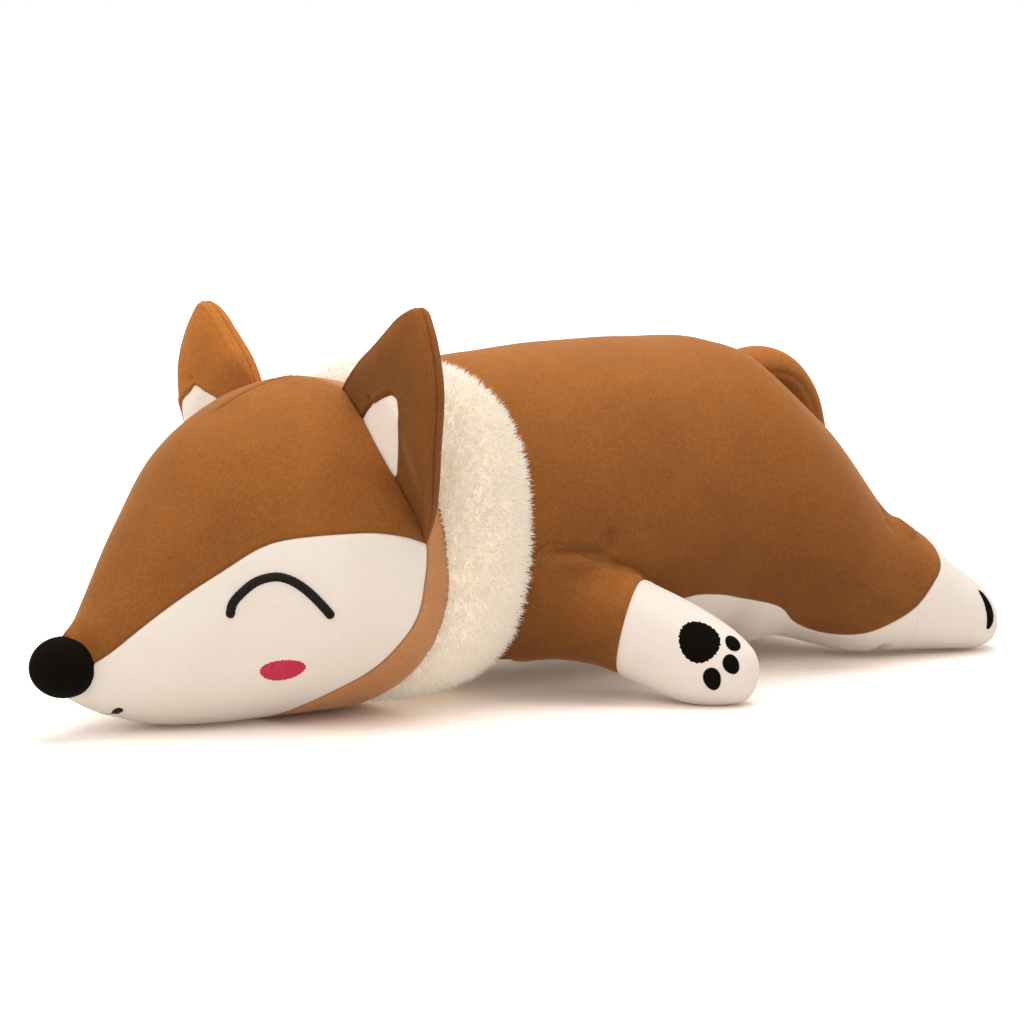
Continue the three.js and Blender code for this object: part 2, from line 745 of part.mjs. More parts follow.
function makeArm(side, name) {
  const shape = armShape(side);
  const joint = shoulder(side);
  const root = (solid) => largestBody(
    clearedWhileTurning(solid, trunkClearance, joint, 0, armLift),
  );
  const shell = aboveFloor(swellingForm(shape)).subtract(swellingForm(shape, -fabricThickness));
  const half = (from, to, gap) => wall(
    [[from + gap, -overrun], [to + gap, armHeight + overrun],
      [to + gap + 2 * armLength, armHeight + overrun], [from + gap + 2 * armLength, -overrun]],
    -2 * armHalfWidth, 2 * armHalfWidth, armPlane(side),
  );
  const slope = (cuffTop - cuffBottom) / armHeight;
  const [from, to] = [cuffBottom - slope * overrun, cuffTop + slope * overrun];
  return {
    [`sleeve_${name}`]: root(shell.subtract(half(from, to, -seamGap / 2))),
    [`front_paw_${name}`]: largestBody(shell.intersect(half(from, to, seamGap / 2))),
    [`arm_filling_${name}`]: root(swellingForm(coarse(shape), -fabricThickness - fillingGap)),
    ...makePads(side, name),
  };
}

// Pads: a palm and three toes stitched on the front of each paw and on the
// end of each hind foot

function makePads(side, name) {
  const plane = armPlane(side);
  const layer = threadLayer(armShape(side));
  const pad = ([along, up], halfLength, halfHeight) => layer.intersect(wall(
    ellipse(along * armLength, up * armHeight, halfLength, halfHeight), 0, 2 * armHalfWidth, plane,
  ));
  const pieces = { [`paw_palm_${name}`]: pad(palmPlaceShares, palmHalfLength, palmHalfHeight) };
  toePlaceShares.forEach((place, i) => {
    pieces[`paw_toe_${name}_${i + 1}`] = pad(place, toeHalfLength, toeHalfHeight);
  });
  return pieces;
}

function makeFootPads(side, name) {
  const ahead = new THREE.Vector3(Math.cos(legTurn), side * Math.sin(legTurn), 0);
  const outward = new THREE.Vector3(-Math.sin(legTurn), side * Math.cos(legTurn), 0);
  const root = new THREE.Vector3(legRootX, side * legRootY, -floorCut);
  const plane = basis(outward, zAxis, ahead, root);
  const layer = threadLayer(legShape(side));
  const pad = ([across, up], halfAcross, halfHeight) => layer.intersect(wall(
    ellipse(across * legHalfWidth, up * legHeight, halfAcross, halfHeight),
    legLength - footLength / 2, legLength + overrun, plane,
  ));
  const pieces = {
    [`foot_palm_${name}`]: pad(footPalmPlaceShares, palmHalfLength, palmHalfHeight),
  };
  footToePlaceShares.forEach((place, i) => {
    pieces[`foot_toe_${name}_${i + 1}`] = pad(place, toeHalfLength, toeHalfHeight);
  });
  return pieces;
}

// Tail: flattened rings along a path that bends down behind the rump

function tailForm() {
  const { rings, sides } = forms.tail;
  const centre = (t) => {
    const [along, up] = rowsAlong(tailShares, t, [false, false, false]);
    return new THREE.Vector3(tailRootX + along * tailLength, 0, tailRootZ + up * tailLength);
  };
  const bands = [];
  for (let ring = 1; ring < rings; ring += 1) {
    const t = ring / rings;
    const [, , fullness] = rowsAlong(tailShares, t, [false, false, true]);
    const ahead = centre(t + pathStepShare).sub(centre(t - pathStepShare)).normalize();
    const outward = new THREE.Vector3().crossVectors(ahead, yAxis);
    bands.push(Array.from({ length: sides }, (_, side) => {
      const angle = (2 * Math.PI * side) / sides;
      return centre(t)
        .addScaledVector(yAxis, tailHalfWidth * fullness * Math.cos(angle))
        .addScaledVector(outward, tailHalfDepth * fullness * Math.sin(angle));
    }));
  }
  return closedForm(bands, centre(0), centre(1));
}

function makeTail() {
  const joint = { point: new THREE.Vector3(tailHingeX, 0, tailHingeZ), axis: yAxis };
  const tail = largestBody(
    clearedWhileTurning(tailForm(), trunkClearance, joint, 0, -tailLift),
  );
  const [, tipUp] = tailShares[tailShares.length - 1];
  const tipLine = tailRootZ + tipUp * tailLength + tailTipLength;
  const reach = new THREE.Vector3(bodyStart + 2 * bodyLength, bodyHalfWidth, 0);
  const below = (top) => box(
    new THREE.Vector3(bodyStart, -reach.y, -bodyHeight), new THREE.Vector3(reach.x, reach.y, top),
  );
  return {
    tail: tail.subtract(below(tipLine + seamGap / 2)),
    tail_tip: tail.intersect(below(tipLine - seamGap / 2)),
  };
}

// Which finish each piece has

function finishFor(name) {
  if (name.endsWith('filling') || name.includes('filling_')) return finishes.filling;
  if (/palm|toe|eye|mouth|nose/.test(name)) return finishes.black;
  if (name.startsWith('blush')) return finishes.blush;
  if (name === 'fur_collar') return finishes.fur;
  if (name === 'head_back_panel') return finishes.lightBrown;
  if (/cheek|belly|paw|foot|inner_ear|tip/.test(name)) return finishes.cream;
  return finishes.brown;
}

function buildFox() {
  const pieces = { ...makeHead(), nose: makeNose(), ...makeFace(), fur_collar: makeCollar() };
  Object.assign(pieces, makeTrunk(), makeTail());
  for (const [name, side] of [['left', -1], ['right', 1]]) {
    Object.assign(pieces, makeEar(side, name), makeArm(side, name), makeFootPads(side, name));
  }
  const fox = new THREE.Group();
  for (const [name, solid] of Object.entries(pieces)) {
    const mesh = new THREE.Mesh(toGeometry(withoutSlivers(solid)), finishFor(name).clone());
    mesh.name = name;
    fox.add(mesh);
  }
  const bounds = new THREE.Box3().setFromObject(fox);
  fox.position.x = -(bounds.min.x + bounds.max.x) / 2;
  return fox;
}

const group = buildFox();

export default group;
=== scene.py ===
# A plush fox that lies flat on its belly: brown and cream panels over fibre filling, a fur collar,
# stitched eyes, blush and pads. The panels are cut from smooth forms along their seams.
import math

import bpy
import numpy as np
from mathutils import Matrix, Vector


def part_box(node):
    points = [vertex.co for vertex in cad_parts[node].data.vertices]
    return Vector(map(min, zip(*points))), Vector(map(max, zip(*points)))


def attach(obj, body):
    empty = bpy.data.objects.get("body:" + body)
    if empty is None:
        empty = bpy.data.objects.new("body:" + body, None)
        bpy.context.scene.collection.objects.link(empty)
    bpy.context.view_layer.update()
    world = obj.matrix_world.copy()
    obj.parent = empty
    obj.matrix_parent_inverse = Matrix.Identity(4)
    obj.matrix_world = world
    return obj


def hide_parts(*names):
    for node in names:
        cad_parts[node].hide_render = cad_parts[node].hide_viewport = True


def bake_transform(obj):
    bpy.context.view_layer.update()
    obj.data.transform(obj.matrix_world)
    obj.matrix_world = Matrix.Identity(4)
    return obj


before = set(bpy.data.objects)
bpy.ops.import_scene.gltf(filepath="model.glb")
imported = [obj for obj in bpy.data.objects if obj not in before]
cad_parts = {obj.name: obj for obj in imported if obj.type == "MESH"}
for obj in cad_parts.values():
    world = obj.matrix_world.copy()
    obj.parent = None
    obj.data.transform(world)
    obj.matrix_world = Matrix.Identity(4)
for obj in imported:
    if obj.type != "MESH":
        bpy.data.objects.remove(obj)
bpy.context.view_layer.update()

rng = np.random.default_rng(11)
mm = 0.001
sunk = 0.5  # how far the forms' own zero height lies below the floor, in millimetres

# places that the frame gives, in millimetres
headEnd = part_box("head_back_panel")[1][0] / mm
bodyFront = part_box("back_panel")[0][0] / mm
sides = {"left": -1, "right": 1}

cloth = {
    "thickness": 1.4,  # of a panel, behind its face
    "grooveDepth": 0.6, "grooveWidth": 0.8,  # along a seam
    "paintedEdgeLight": 0.6,  # how much painted highlight brown cloth gets along its edge
    "deepSeam": 1.1,  # along the seam that draws the ears onto the head
    "swell": 0.3, "swellAt": 3.2, "swellWidth": 2.0,  # the cloth's rise beside a seam
    "beside": (0.45, 1.0, 1.9, 3.2),  # how far from a seam the surface is made finer
    "lump": 0.2, "lumpSize": 62,  # how unevenly the filling lies under the cloth
    "lumpRise": (2, 14),  # where above the floor that starts
    "floor": 0.2, "floorSoftness": 1.0,  # lowest place of any cloth, and how softly it lies there
    "fillingInset": 3.6,
    "paintedShadeWidth": 0.6, "paintedLightWidth": 0.7,  # of the painted shade line in a seam and the painted highlight beside it
}
head = {
    "length": 168, "halfWidth": 79, "height": 151, "widest": 0.42, "fullness": 2.05,
    "start": (headEnd - 168, 0), "turn": 0, "grid": (229, 260),
    # how far along, half width, top and bottom, as shares of the sizes above
    "rows": [
        (-0.04, 0, 0.24, 0.24), (-0.028, 0.085, 0.3, 0.135), (0, 0.125, 0.333, 0.103),
        (0.048, 0.25, 0.381, 0.075), (0.107, 0.345, 0.485, 0.05), (0.214, 0.51, 0.669, 0.015),
        (0.345, 0.709, 0.845, 0), (0.5, 0.886, 0.949, 0), (0.655, 0.987, 1, 0),
        (0.774, 1, 0.993, 0.004), (0.869, 0.911, 0.96, 0.046), (0.946, 0.734, 0.887, 0.119),
        (0.988, 0.405, 0.728, 0.278), (1, 0, 0.503, 0.503)],
    # where cream meets brown, and where both meet the panel at the back, along and up
    "cheekEdge": [
        (-0.1, 0.1), (0.016, 0.226), (0.095, 0.312), (0.173, 0.392), (0.265, 0.474),
        (0.361, 0.55), (0.449, 0.577), (0.595, 0.585), (0.685, 0.574), (0.774, 0.545),
        (0.95, 0.46)],
    "rearSeam": [
        (0.76, 1.2), (0.752, 0.985), (0.722, 0.93), (0.711, 0.85), (0.715, 0.79), (0.729, 0.73),
        (0.75, 0.66), (0.776, 0.6), (0.786, 0.54), (0.781, 0.48), (0.771, 0.43), (0.752, 0.33),
        (0.714, 0.25), (0.655, 0.16), (0.53, 0.05), (0.46, -0.1)],
    # the rear seam comes forward over the crown, by how much, how widely and from which height on
    "seamPeak": 12, "seamPeakWidth": 15, "seamPeakRise": (100, 135),
    # where the dart starts and where it is full, along the crown, and how dark the painted shade in
    # its line is
    "dart": (0.41, 0.45), "dartDepth": 1.1, "dartWidth": 0.65, "dartSwell": 0.5, "dartPaintedShade": 1.3,
}
body = {
    "length": 269, "halfWidth": 82, "height": 161.5, "widest": 0.45, "fullness": 2.1,
    "start": (bodyFront, 0), "turn": 0, "cell": 2.4, "hipBlend": 34,
    "room": (6, 106, 8),  # round the trunk for its grid: in front and below, beside, above
    "rows": [
        (0, 0, 0.495, 0.495), (0.007, 0.463, 0.731, 0.272), (0.033, 0.707, 0.879, 0.149),
        (0.1, 0.854, 0.96, 0.062), (0.212, 0.927, 0.985, 0.043), (0.372, 0.976, 1, 0.043),
        (0.539, 1, 1, 0.06), (0.695, 0.963, 0.98, 0.104), (0.818, 0.854, 0.83, 0.096),
        (0.903, 0.683, 0.735, 0.087), (0.959, 0.463, 0.619, 0.149), (0.989, 0.244, 0.495, 0.248),
        (1, 0, 0.384, 0.384)],
    # where brown ends above the belly and the feet, along and up
    "bellyEdge": [
        (-0.3, 0.11), (-0.1, 0.11), (0.24, 0.11), (0.31, 0.15), (0.39, 0.23), (0.45, 0.266),
        (0.52, 0.257), (0.58, 0.235), (0.66, 0.202), (0.72, 0.142), (0.78, 0.099), (0.825, 0.091),
        (0.866, 0.111), (0.926, 0.167), (0.97, 0.235), (1.019, 0.31), (1.039, 0.4), (1.044, 0.7),
        (1.044, 1.2)],
}
leg = {
    "length": 141.5, "halfWidth": 49, "height": 139, "widest": 0.45, "fullness": 2.1,
    "start": (bodyFront + 0.695 * body["length"], 0.341 * body["halfWidth"]),
    "turn": 23.3, "footLength": 56, "footGroove": 0.1,
    "rows": [
        (-0.12, 0, 0.612, 0.612), (-0.1, 0.408, 0.867, 0.288), (0, 0.816, 0.972, 0.111),
        (0.15, 1, 0.88, 0.136), (0.3, 1, 0.771, 0.066), (0.42, 0.898, 0.649, 0.022),
        (0.55, 0.755, 0.53, 0.018), (0.68, 0.633, 0.45, 0.015), (0.8, 0.531, 0.341, 0.01),
        (0.9, 0.408, 0.268, 0.008), (0.97, 0.245, 0.187, 0.036), (1, 0, 0.108, 0.108)],
}
arm = {
    "length": 101, "halfWidth": 23.5, "height": 71, "widest": 0.45, "fullness": 2.15,
    "start": (bodyFront + 0.19 * body["length"], 0.585 * body["halfWidth"]),
    "turn": 52, "grid": (60, 80), "cell": 1.6,
    "around": ((-66, -138, -5), (76, -16, 92)),  # the box in which the left one is worked out
    "cuff": (33.7, 49.5),  # where the paw starts, at the floor and at the arm's full height
    "edge": 0.25, "pawEdge": 1.0,  # how far from the trunk the sleeve ends, and the paw more
    # how widely the arm runs into the trunk: low and high up, and not so near the paw
    "blend": (3.5, 22), "blendRise": (16, 46), "blendRear": (-34, 0), "pawBlend": 0.6, "pawFade": 9,
    "bend": (62, 84),  # two places out from the middle, handed on with each sleeve and arm filling; nothing bends them
    "rows": [
        (-0.25, 0, 0.634, 0.634), (-0.22, 0.596, 0.873, 0.394), (-0.1, 0.894, 0.972, 0.254),
        (0.1, 1, 1, 0.26), (0.3, 1, 0.897, 0.215), (0.5, 0.935, 0.776, 0.094),
        (0.7, 0.87, 0.649, 0), (0.85, 0.721, 0.519, 0), (0.95, 0.471, 0.4, 0.044),
        (0.99, 0.2, 0.32, 0.143), (1, 0, 0.232, 0.232)],
}


# Curves and forms

def spread(count):
    # even steps from 0 to 1
    return np.linspace(0, 1, count)


def turns(count):
    # even angles once round
    return np.linspace(0, 2 * np.pi, count, endpoint=False)


def alongRows(rows, t, mirrored=()):
    # a smooth curve through rows of numbers, for t from 0 to 1; columns in mirrored pass through
    # zero at both ends, as a half width does
    rows = np.array(rows, float)

    def beyond(end, neighbour):
        row = 2 * end - neighbour
        for k in mirrored:
            row[k] = -neighbour[k]
        return row

    wide = np.vstack([beyond(rows[0], rows[1]), rows, beyond(rows[-1], rows[-2])])
    spot = np.clip(t, 0, 1) * (len(rows) - 1)
    span = np.minimum(spot.astype(int), len(rows) - 2)
    f = (spot - span)[..., None]
    a, b, c, d = (wide[span + k] for k in range(4))
    return 0.5 * (
        2 * b + (c - a) * f + (2 * a - 5 * b + 4 * c - d) * f**2 + (3 * b - a - 3 * c + d) * f**3)


def smoothStep(value, low, high):
    # 0 below low, 1 above high, and 3f² - 2f³ between them
    f = np.clip((value - low) / (high - low), 0, 1)
    return f * f * (3 - 2 * f)


def signedPower(value, power):
    # the size of the value to that power, with its own sign
    return np.sign(value) * np.abs(value) ** power


def bell(value, width):
    # e to the -(value/width)²
    return np.exp(-(value / width) ** 2)


def unit(vectors):
    # each vector over its own length
    return vectors / np.maximum(np.linalg.norm(vectors, axis=-1, keepdims=True), 1e-12)


for form in (head, body, leg, arm):  # distance along, half width, top and bottom, finely sampled
    scale = [form["length"], form["halfWidth"], form["height"], form["height"]]
    form["profile"] = (alongRows(form["rows"], spread(800), mirrored=(1,)) * scale).T


def place(form, side, along, across, up):
    # from a form's own directions to the toy's frame
    turn = math.radians(form["turn"]) * side
    c, s = math.cos(turn), math.sin(turn)
    x, y = form["start"]
    return np.stack([
        x + along * c - across * s, side * y + along * s + across * c, up - sunk + 0 * along], -1)


def localPlace(form, side, x, y):
    # how far along and across a form's heading a place lies
    turn = math.radians(form["turn"]) * side
    c, s = math.cos(turn), math.sin(turn)
    dx, dy = x - form["start"][0], y - side * form["start"][1]
    return dx * c + dy * s, dy * c - dx * s


def loftGrid(form, side=1, inset=0):
    # a form as a grid: for each step along it and each angle round it, a rounded section whose
    # widest line lies low, so its upper and lower halves are two different half ovals
    rings, count = form["grid"]
    table = alongRows(form["rows"], spread(rings), mirrored=(1,))
    first, last = form["rows"][0][0], form["rows"][-1][0]
    middle = 0.5 * (first + last) * form["length"]
    shrink = 1 - 2 * inset / ((last - first) * form["length"])
    along = (middle + (table[:, 0] * form["length"] - middle) * shrink)[:, None]
    wide = np.maximum(table[:, 1] * form["halfWidth"] - inset, 0)[:, None]
    top = (table[:, 2] * form["height"] - inset)[:, None]
    bottom = (table[:, 3] * form["height"] + inset)[:, None]
    waist = bottom + form["widest"] * (top - bottom)
    angle = turns(count)
    power = 2 / form["fullness"]
    rise = signedPower(np.sin(angle), power)
    up = waist + rise * np.where(rise > 0, top - waist, waist - bottom)
    across = wide * signedPower(np.cos(angle), power)
    across[[0, -1]] = 0
    up[[0, -1]] = waist[[0, -1]]
    return place(form, side, along + 0 * across, across, up)


def outside(form, side, x, y, z):
    # about how far outside a form a place lies. In the form's section there, the place is as far
    # out as the root of the powers of its shares of the half width and half height, 1 being the
    # surface, and r from the middle line, so the distance is r·(1 - 1/reach); past the form's ends
    # it is the square root of that squared plus the distance past them squared
    along, wide, top, bottom = form["profile"]
    a, across = localPlace(form, side, x, y)
    least = 0.6
    w = np.maximum(np.interp(a, along, wide), least)
    t, b = np.interp(a, along, top), np.interp(a, along, bottom)
    waist = b + form["widest"] * (t - b)
    rise = z + sunk - waist
    half = np.maximum(np.where(rise > 0, t - waist, waist - b), least)
    p = form["fullness"]
    reach = (np.abs(across / w) ** p + np.abs(rise / half) ** p) ** (1 / p)
    distance = np.hypot(across, rise) * (1 - 1 / np.maximum(reach, 1e-4))
    past = np.maximum(along[0] - a, 0) + np.maximum(a - along[-1], 0)
    return np.where(past > 0, np.hypot(np.maximum(distance, 0), past), distance)


def runTogether(a, b, width):
    # the nearer of two distances, less h²·width/4 where they differ by less than the width
    h = np.maximum(width - np.abs(a - b), 0) / width
    return np.minimum(a, b) - h**2 * width / 4


def trunkDistance(grid):
    # the body and both thighs run together
    field = outside(body, 1, *grid)
    for side in (-1, 1):
        field = runTogether(field, outside(leg, side, *grid), body["hipBlend"])
    return field


def castOnto(form, side, points, direction, reach):
    # where lines from points, outside a form, first meet it: the span is halved again and again
    low, high = np.zeros(len(points)), np.full(len(points), float(reach))
    for _ in range(34):
        middle = 0.5 * (low + high)
        clear = outside(form, side, *(points + middle[:, None] * direction).T) > 0
        low, high = np.where(clear, middle, low), np.where(clear, high, middle)
    return points + high[:, None] * direction


# Surfaces

def gridOver(low, high, cell):
    # places one cell apart that fill a box, and the first of them
    axes = [np.arange(a, b + cell, cell) for a, b in zip(low, high)]
    return np.meshgrid(*axes, indexing="ij"), np.array([a[0] for a in axes])


def surfaceNet(field, origin, cell):
    # the surface where a field on a grid is zero: one point in each grid cell that it crosses, at
    # the mean of its crossings of the cell's edges, and one quad across each crossed grid edge
    shape = np.array(field.shape) - 1
    total, count = np.zeros((*shape, 3)), np.zeros(shape)

    def block(corner):
        return field[tuple(slice(c, c + n) for c, n in zip(corner, shape))]

    for corner in np.ndindex(2, 2, 2):
        for axis in range(3):
            if corner[axis] == 1:
                continue
            near, far = block(corner), block([1 if n == axis else c for n, c in enumerate(corner)])
            crossed = (near < 0) != (far < 0)
            share = np.where(crossed, near / np.where(crossed, near - far, 1), 0)
            for n in range(3):
                total[..., n] += crossed * (corner[n] + (share if n == axis else 0))
            count += crossed
    used = count > 0
    index = np.full(shape, -1)
    index[used] = np.arange(used.sum())
    points = origin + cell * (np.argwhere(used) + total[used] / count[used][:, None])
    quads = []
    for axis in range(3):
        u, v = (axis + 1) % 3, (axis + 2) % 3
        low = [slice(1, shape[n]) if n in (u, v) else slice(0, shape[n]) for n in range(3)]
        high = [slice(1, shape[n] + 1) if n == axis else low[n] for n in range(3)]
        near, far = field[tuple(low)], field[tuple(high)]
        for first, order in ((near < 0, 1), (far < 0, -1)):
            hit = np.argwhere(first & ((near < 0) != (far < 0)))
            hit[:, [u, v]] += 1
            ring = []
            for du, dv in ((0, 0), (1, 0), (1, 1), (0, 1))[::order]:
                at = hit.copy()
                at[:, u] -= du
                at[:, v] -= dv
                ring.append(index[tuple(at.T)])
            quads.append(np.stack(ring, axis=1))
    return points, outward(points, triangles(np.vstack(quads)))


def triangles(quads):
    # each quad as two
    return np.vstack([quads[:, [0, 1, 2]], quads[:, [0, 2, 3]]])


def relaxed(points, faces, rounds):
    # moves each point half way to the mean of its neighbours, a few times
    pairs = np.vstack([faces[:, [k, (k + 1) % 3]] for k in range(3)])
    pairs = np.vstack([pairs, pairs[:, ::-1]])
    count = np.maximum(np.bincount(pairs[:, 0], minlength=len(points)), 1)[:, None]
    for _ in range(rounds):
        total = [np.bincount(pairs[:, 0], points[pairs[:, 1], n], len(points)) for n in range(3)]
        points = points + 0.5 * (np.stack(total, 1) / count - points)
    return points


def poledGrid(rings, count):
    # triangles over a grid of rings that starts and ends in a pole, each pole one point
    ring, turn = np.meshgrid(np.arange(rings - 3), np.arange(count), indexing="ij")
    a, b = 1 + ring * count + turn, 1 + ring * count + (turn + 1) % count
    between = triangles(np.stack([a, b, b + count, a + count], -1).reshape(-1, 4))
    turn = np.arange(count)
    last = 1 + (rings - 3) * count
    start = np.stack([0 * turn, 1 + (turn + 1) % count, 1 + turn], 1)
    end = np.stack([0 * turn + last + count, last + turn, last + (turn + 1) % count], 1)
    return np.vstack([between, start, end])


def poledPoints(grid):
    # a grid as a list, with each pole as one point
    return np.vstack([grid[0, :1], grid[1:-1].reshape(-1, grid.shape[-1]), grid[-1, :1]])


def poledValues(grid):
    # the same for a grid of numbers
    return poledPoints(grid[..., None])[:, 0]


def outward(points, faces):
    # faces in the order that gives a closed form a positive volume
    a, b, c = (points[faces[:, k]] for k in range(3))
    return faces if np.einsum("ij,ij->", a, np.cross(b, c)) > 0 else faces[:, ::-1]


def poledForm(grid):
    # a grid as points and faces
    points = poledPoints(grid)
    return points, outward(points, poledGrid(*grid.shape[:2]))


def normalsOf(points, faces):
    # the sum of the faces' normals round each point, larger faces counting more, as a unit vector
    a, b, c = (points[faces[:, k]] for k in range(3))
    square = np.cross(b - a, c - a)
    total = [
        sum(np.bincount(faces[:, k], square[:, n], len(points)) for k in range(3))
        for n in range(3)]
    return unit(np.stack(total, 1))


# Seams

def curveThrough(shares, form, samples=420):
    # a smooth curve in the side view through places given as shares of a form
    table = alongRows(shares, spread(samples)) * [form["length"], form["height"]]
    return table + [form["start"][0], 0]


def besideCurve(flat, curve):
    # signed distance from a curve in a plane, positive on its left, and the way it grows
    best = np.full(len(flat), np.inf)
    signed, way = np.zeros(len(flat)), np.zeros((len(flat), 2))
    for start, step in zip(curve[:-1], np.diff(curve, axis=0)):
        rel = flat - start
        away = rel - np.clip(rel @ step / (step @ step), 0, 1)[:, None] * step
        gap = np.hypot(*away.T)
        nearer = gap < best
        left = np.sign(step[0] * rel[:, 1] - step[1] * rel[:, 0])
        best[nearer] = gap[nearer]
        signed[nearer] = (left * gap)[nearer]
        way[nearer] = (left[:, None] * away / np.maximum(gap, 1e-9)[:, None])[nearer]
    return signed, way


def alongSurface(offset, way, normals):
    # an offset in space as a distance along the surface, and the direction in which it grows
    flat = way - (way * normals).sum(1, keepdims=True) * normals
    length = np.maximum(np.linalg.norm(flat, axis=1), 0.35)
    return offset / length, flat / length[:, None]


def seamInSideView(points, normals, curve):
    # a seam that follows a curve in the side view, whatever the place across
    signed, way = besideCurve(points[:, [0, 2]], curve)
    return alongSurface(signed, np.stack([way[:, 0], 0 * signed, way[:, 1]], 1), normals)


def settled(points, seam, cell):
    # slides the points that lie very near a seam onto it, so that the cut leaves no slivers
    distance, direction = seam
    near = np.abs(distance) < 0.3 * cell
    points[near] -= (distance[:, None] * direction)[near]
    distance[near] = 0
    return distance


def cut(values, faces, field, both=False):
    # the part of a mesh where a field is positive, cut exactly along its zero line, or both parts
    # still joined; each row of values is a point and whatever else it carries, which the new
    # points carry too
    sign = np.sign(field)[faces]
    keep = (sign.min(1) >= 0) & (sign.max(1) > 0)
    if both:
        keep = (sign.min(1) >= 0) | (sign.max(1) <= 0)
    mixed = faces[(sign.min(1) < 0) & (sign.max(1) > 0)]
    inside = field[mixed] >= 0
    lone = inside.sum(1) == 1
    odd = np.where(lone, inside.argmax(1), (~inside).argmax(1))
    turned = mixed[np.arange(len(mixed))[:, None], (odd[:, None] + np.arange(3)) % 3]
    pairs = np.sort(np.vstack([turned[:, :2], turned[:, ::2]]), axis=1)
    edges, back = np.unique(pairs, axis=0, return_inverse=True)
    back = back.reshape(-1)
    fa, fb = field[edges[:, 0]], field[edges[:, 1]]
    share = (fa / np.where(fa == fb, 1, fa - fb))[:, None]
    new = values[edges[:, 0]] * (1 - share) + values[edges[:, 1]] * share
    added = len(values) + np.arange(len(edges))
    number = np.where(fa == 0, edges[:, 0], np.where(fb == 0, edges[:, 1], added))
    ab, ac = number[back[:len(mixed)]], number[back[len(mixed):]]
    a, b, c = turned.T
    tip, rest = lone | both, ~lone | both
    result = np.vstack([
        faces[keep], np.stack([a, ab, ac], 1)[tip],
        np.stack([b, c, ac], 1)[rest], np.stack([b, ac, ab], 1)[rest]])
    x, y, z = result.T
    result = result[(x != y) & (y != z) & (x != z)]
    used, result = np.unique(result, return_inverse=True)
    return np.vstack([values, new])[used], result.reshape(-1, 3)


def parted(values, faces, column):
    # both sides of a seam, the one where its distance is positive first
    return cut(values, faces, values[:, column]), cut(values, faces, -values[:, column])


def refined(values, faces, columns):
    # cuts a mesh beside its seams without parting it, so that their grooves come out crisp
    for k in columns:
        for step in cloth["beside"]:
            for side in (-1, 1):
                values, faces = cut(values, faces, values[:, k] - side * step, both=True)
    return values, faces


def groove(
        distance, depth=cloth["grooveDepth"], width=cloth["grooveWidth"], swell=cloth["swell"]):
    # how far cloth sinks at a distance from a seam, depth · e to the -(distance/width)^1.5, and
    # how it swells a little further away
    away = np.abs(distance)
    beside = swell * bell(away - cloth["swellAt"], cloth["swellWidth"])
    return beside - depth * np.exp(-(away / width) ** 1.5)


def grounded(height):
    # keeps cloth above the floor: h becomes half of h + sqrt(h² + softness²)
    over = height - cloth["floor"]
    return cloth["floor"] + 0.5 * (over + np.hypot(over, cloth["floorSoftness"]))


def creased(points, creases):
    # how far cloth sinks into creases, or rises in folds; each is a line in space on the left side,
    # a depth and a width: depth · e to the -(distance/width)², softer towards the line's ends
    total = np.zeros(len(points))
    mirrored = points * [1, 0, 1] - np.abs(points) * [0, 1, 0]
    for line, depth, width in creases:
        line = alongRows(line, spread(30))
        room = 3 * width
        close = np.all((mirrored > line.min(0) - room) & (mirrored < line.max(0) + room), axis=1)
        gap = np.linalg.norm(mirrored[close, None] - line, axis=2)
        t = gap.argmin(1) / (len(line) - 1)
        soft = smoothStep(t, -0.05, 0.3) * (1 - smoothStep(t, 0.7, 1.05))
        total[close] -= depth * bell(gap.min(1), width) * soft
    return total


waves = [
    (unit(rng.normal(size=3)), rng.uniform(0.6, 1.7), rng.uniform(0, 2 * np.pi)) for _ in range(9)]


def lumps(points):
    # the sum of a few waves in different directions over the root of their number
    total = sum(
        np.sin(points @ way * (2 * np.pi * pace / cloth["lumpSize"]) + phase)
        for way, pace, phase in waves)
    return cloth["lump"] * total / math.sqrt(len(waves))


# Pieces

def addPiece(
        name, points, faces, look, body=None, between=None, thickness=0, fill=None, marks=None,
        node=None):
    # puts arrays of points, in millimetres, and faces into a new object with its material and the
    # marks that it reads, numbers for each point, one of them how far up the cloth faces; the piece
    # rides on a body, or stays fixed where it is when it is given two to bend between, and stands
    # for a CAD node, as crownPanel for crown_panel
    mesh = bpy.data.meshes.new(name)
    faces = np.asarray(faces, np.int32)
    mesh.vertices.add(len(points))
    mesh.loops.add(faces.size)
    mesh.polygons.add(len(faces))
    mesh.vertices.foreach_set("co", (np.asarray(points) * mm).astype(np.float32).ravel())
    mesh.loops.foreach_set("vertex_index", faces.ravel())
    mesh.polygons.foreach_set("loop_start", np.arange(len(faces), dtype=np.int32) * faces.shape[1])
    mesh.update(calc_edges=True)
    mesh.validate()
    mesh.shade_smooth()
    # the first mark, how far up the cloth faces, carries painted light: cloth facing up is painted
    # paler, facing down deeper
    for key, numbers in {"nap": normalsOf(points, faces)[:, 2], **(marks or {})}.items():
        numbers = (numbers + np.zeros(len(points))).astype(np.float32)
        mesh.attributes.new(key, "FLOAT", "POINT").data.foreach_set("value", numbers)
    material, slot = looks[look]
    mesh.materials.append(material)
    piece = bpy.data.objects.new(name, mesh)
    bpy.context.scene.collection.objects.link(piece)
    if thickness:
        wall = piece.modifiers.new("cloth", "SOLIDIFY")
        wall.thickness, wall.offset, wall.use_rim = thickness * mm, -1, True
    if between:
        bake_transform(piece)
    else:
        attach(piece, body)
    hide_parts(node or "".join("_" + c.lower() if c.isupper() else c for c in name))


# Materials

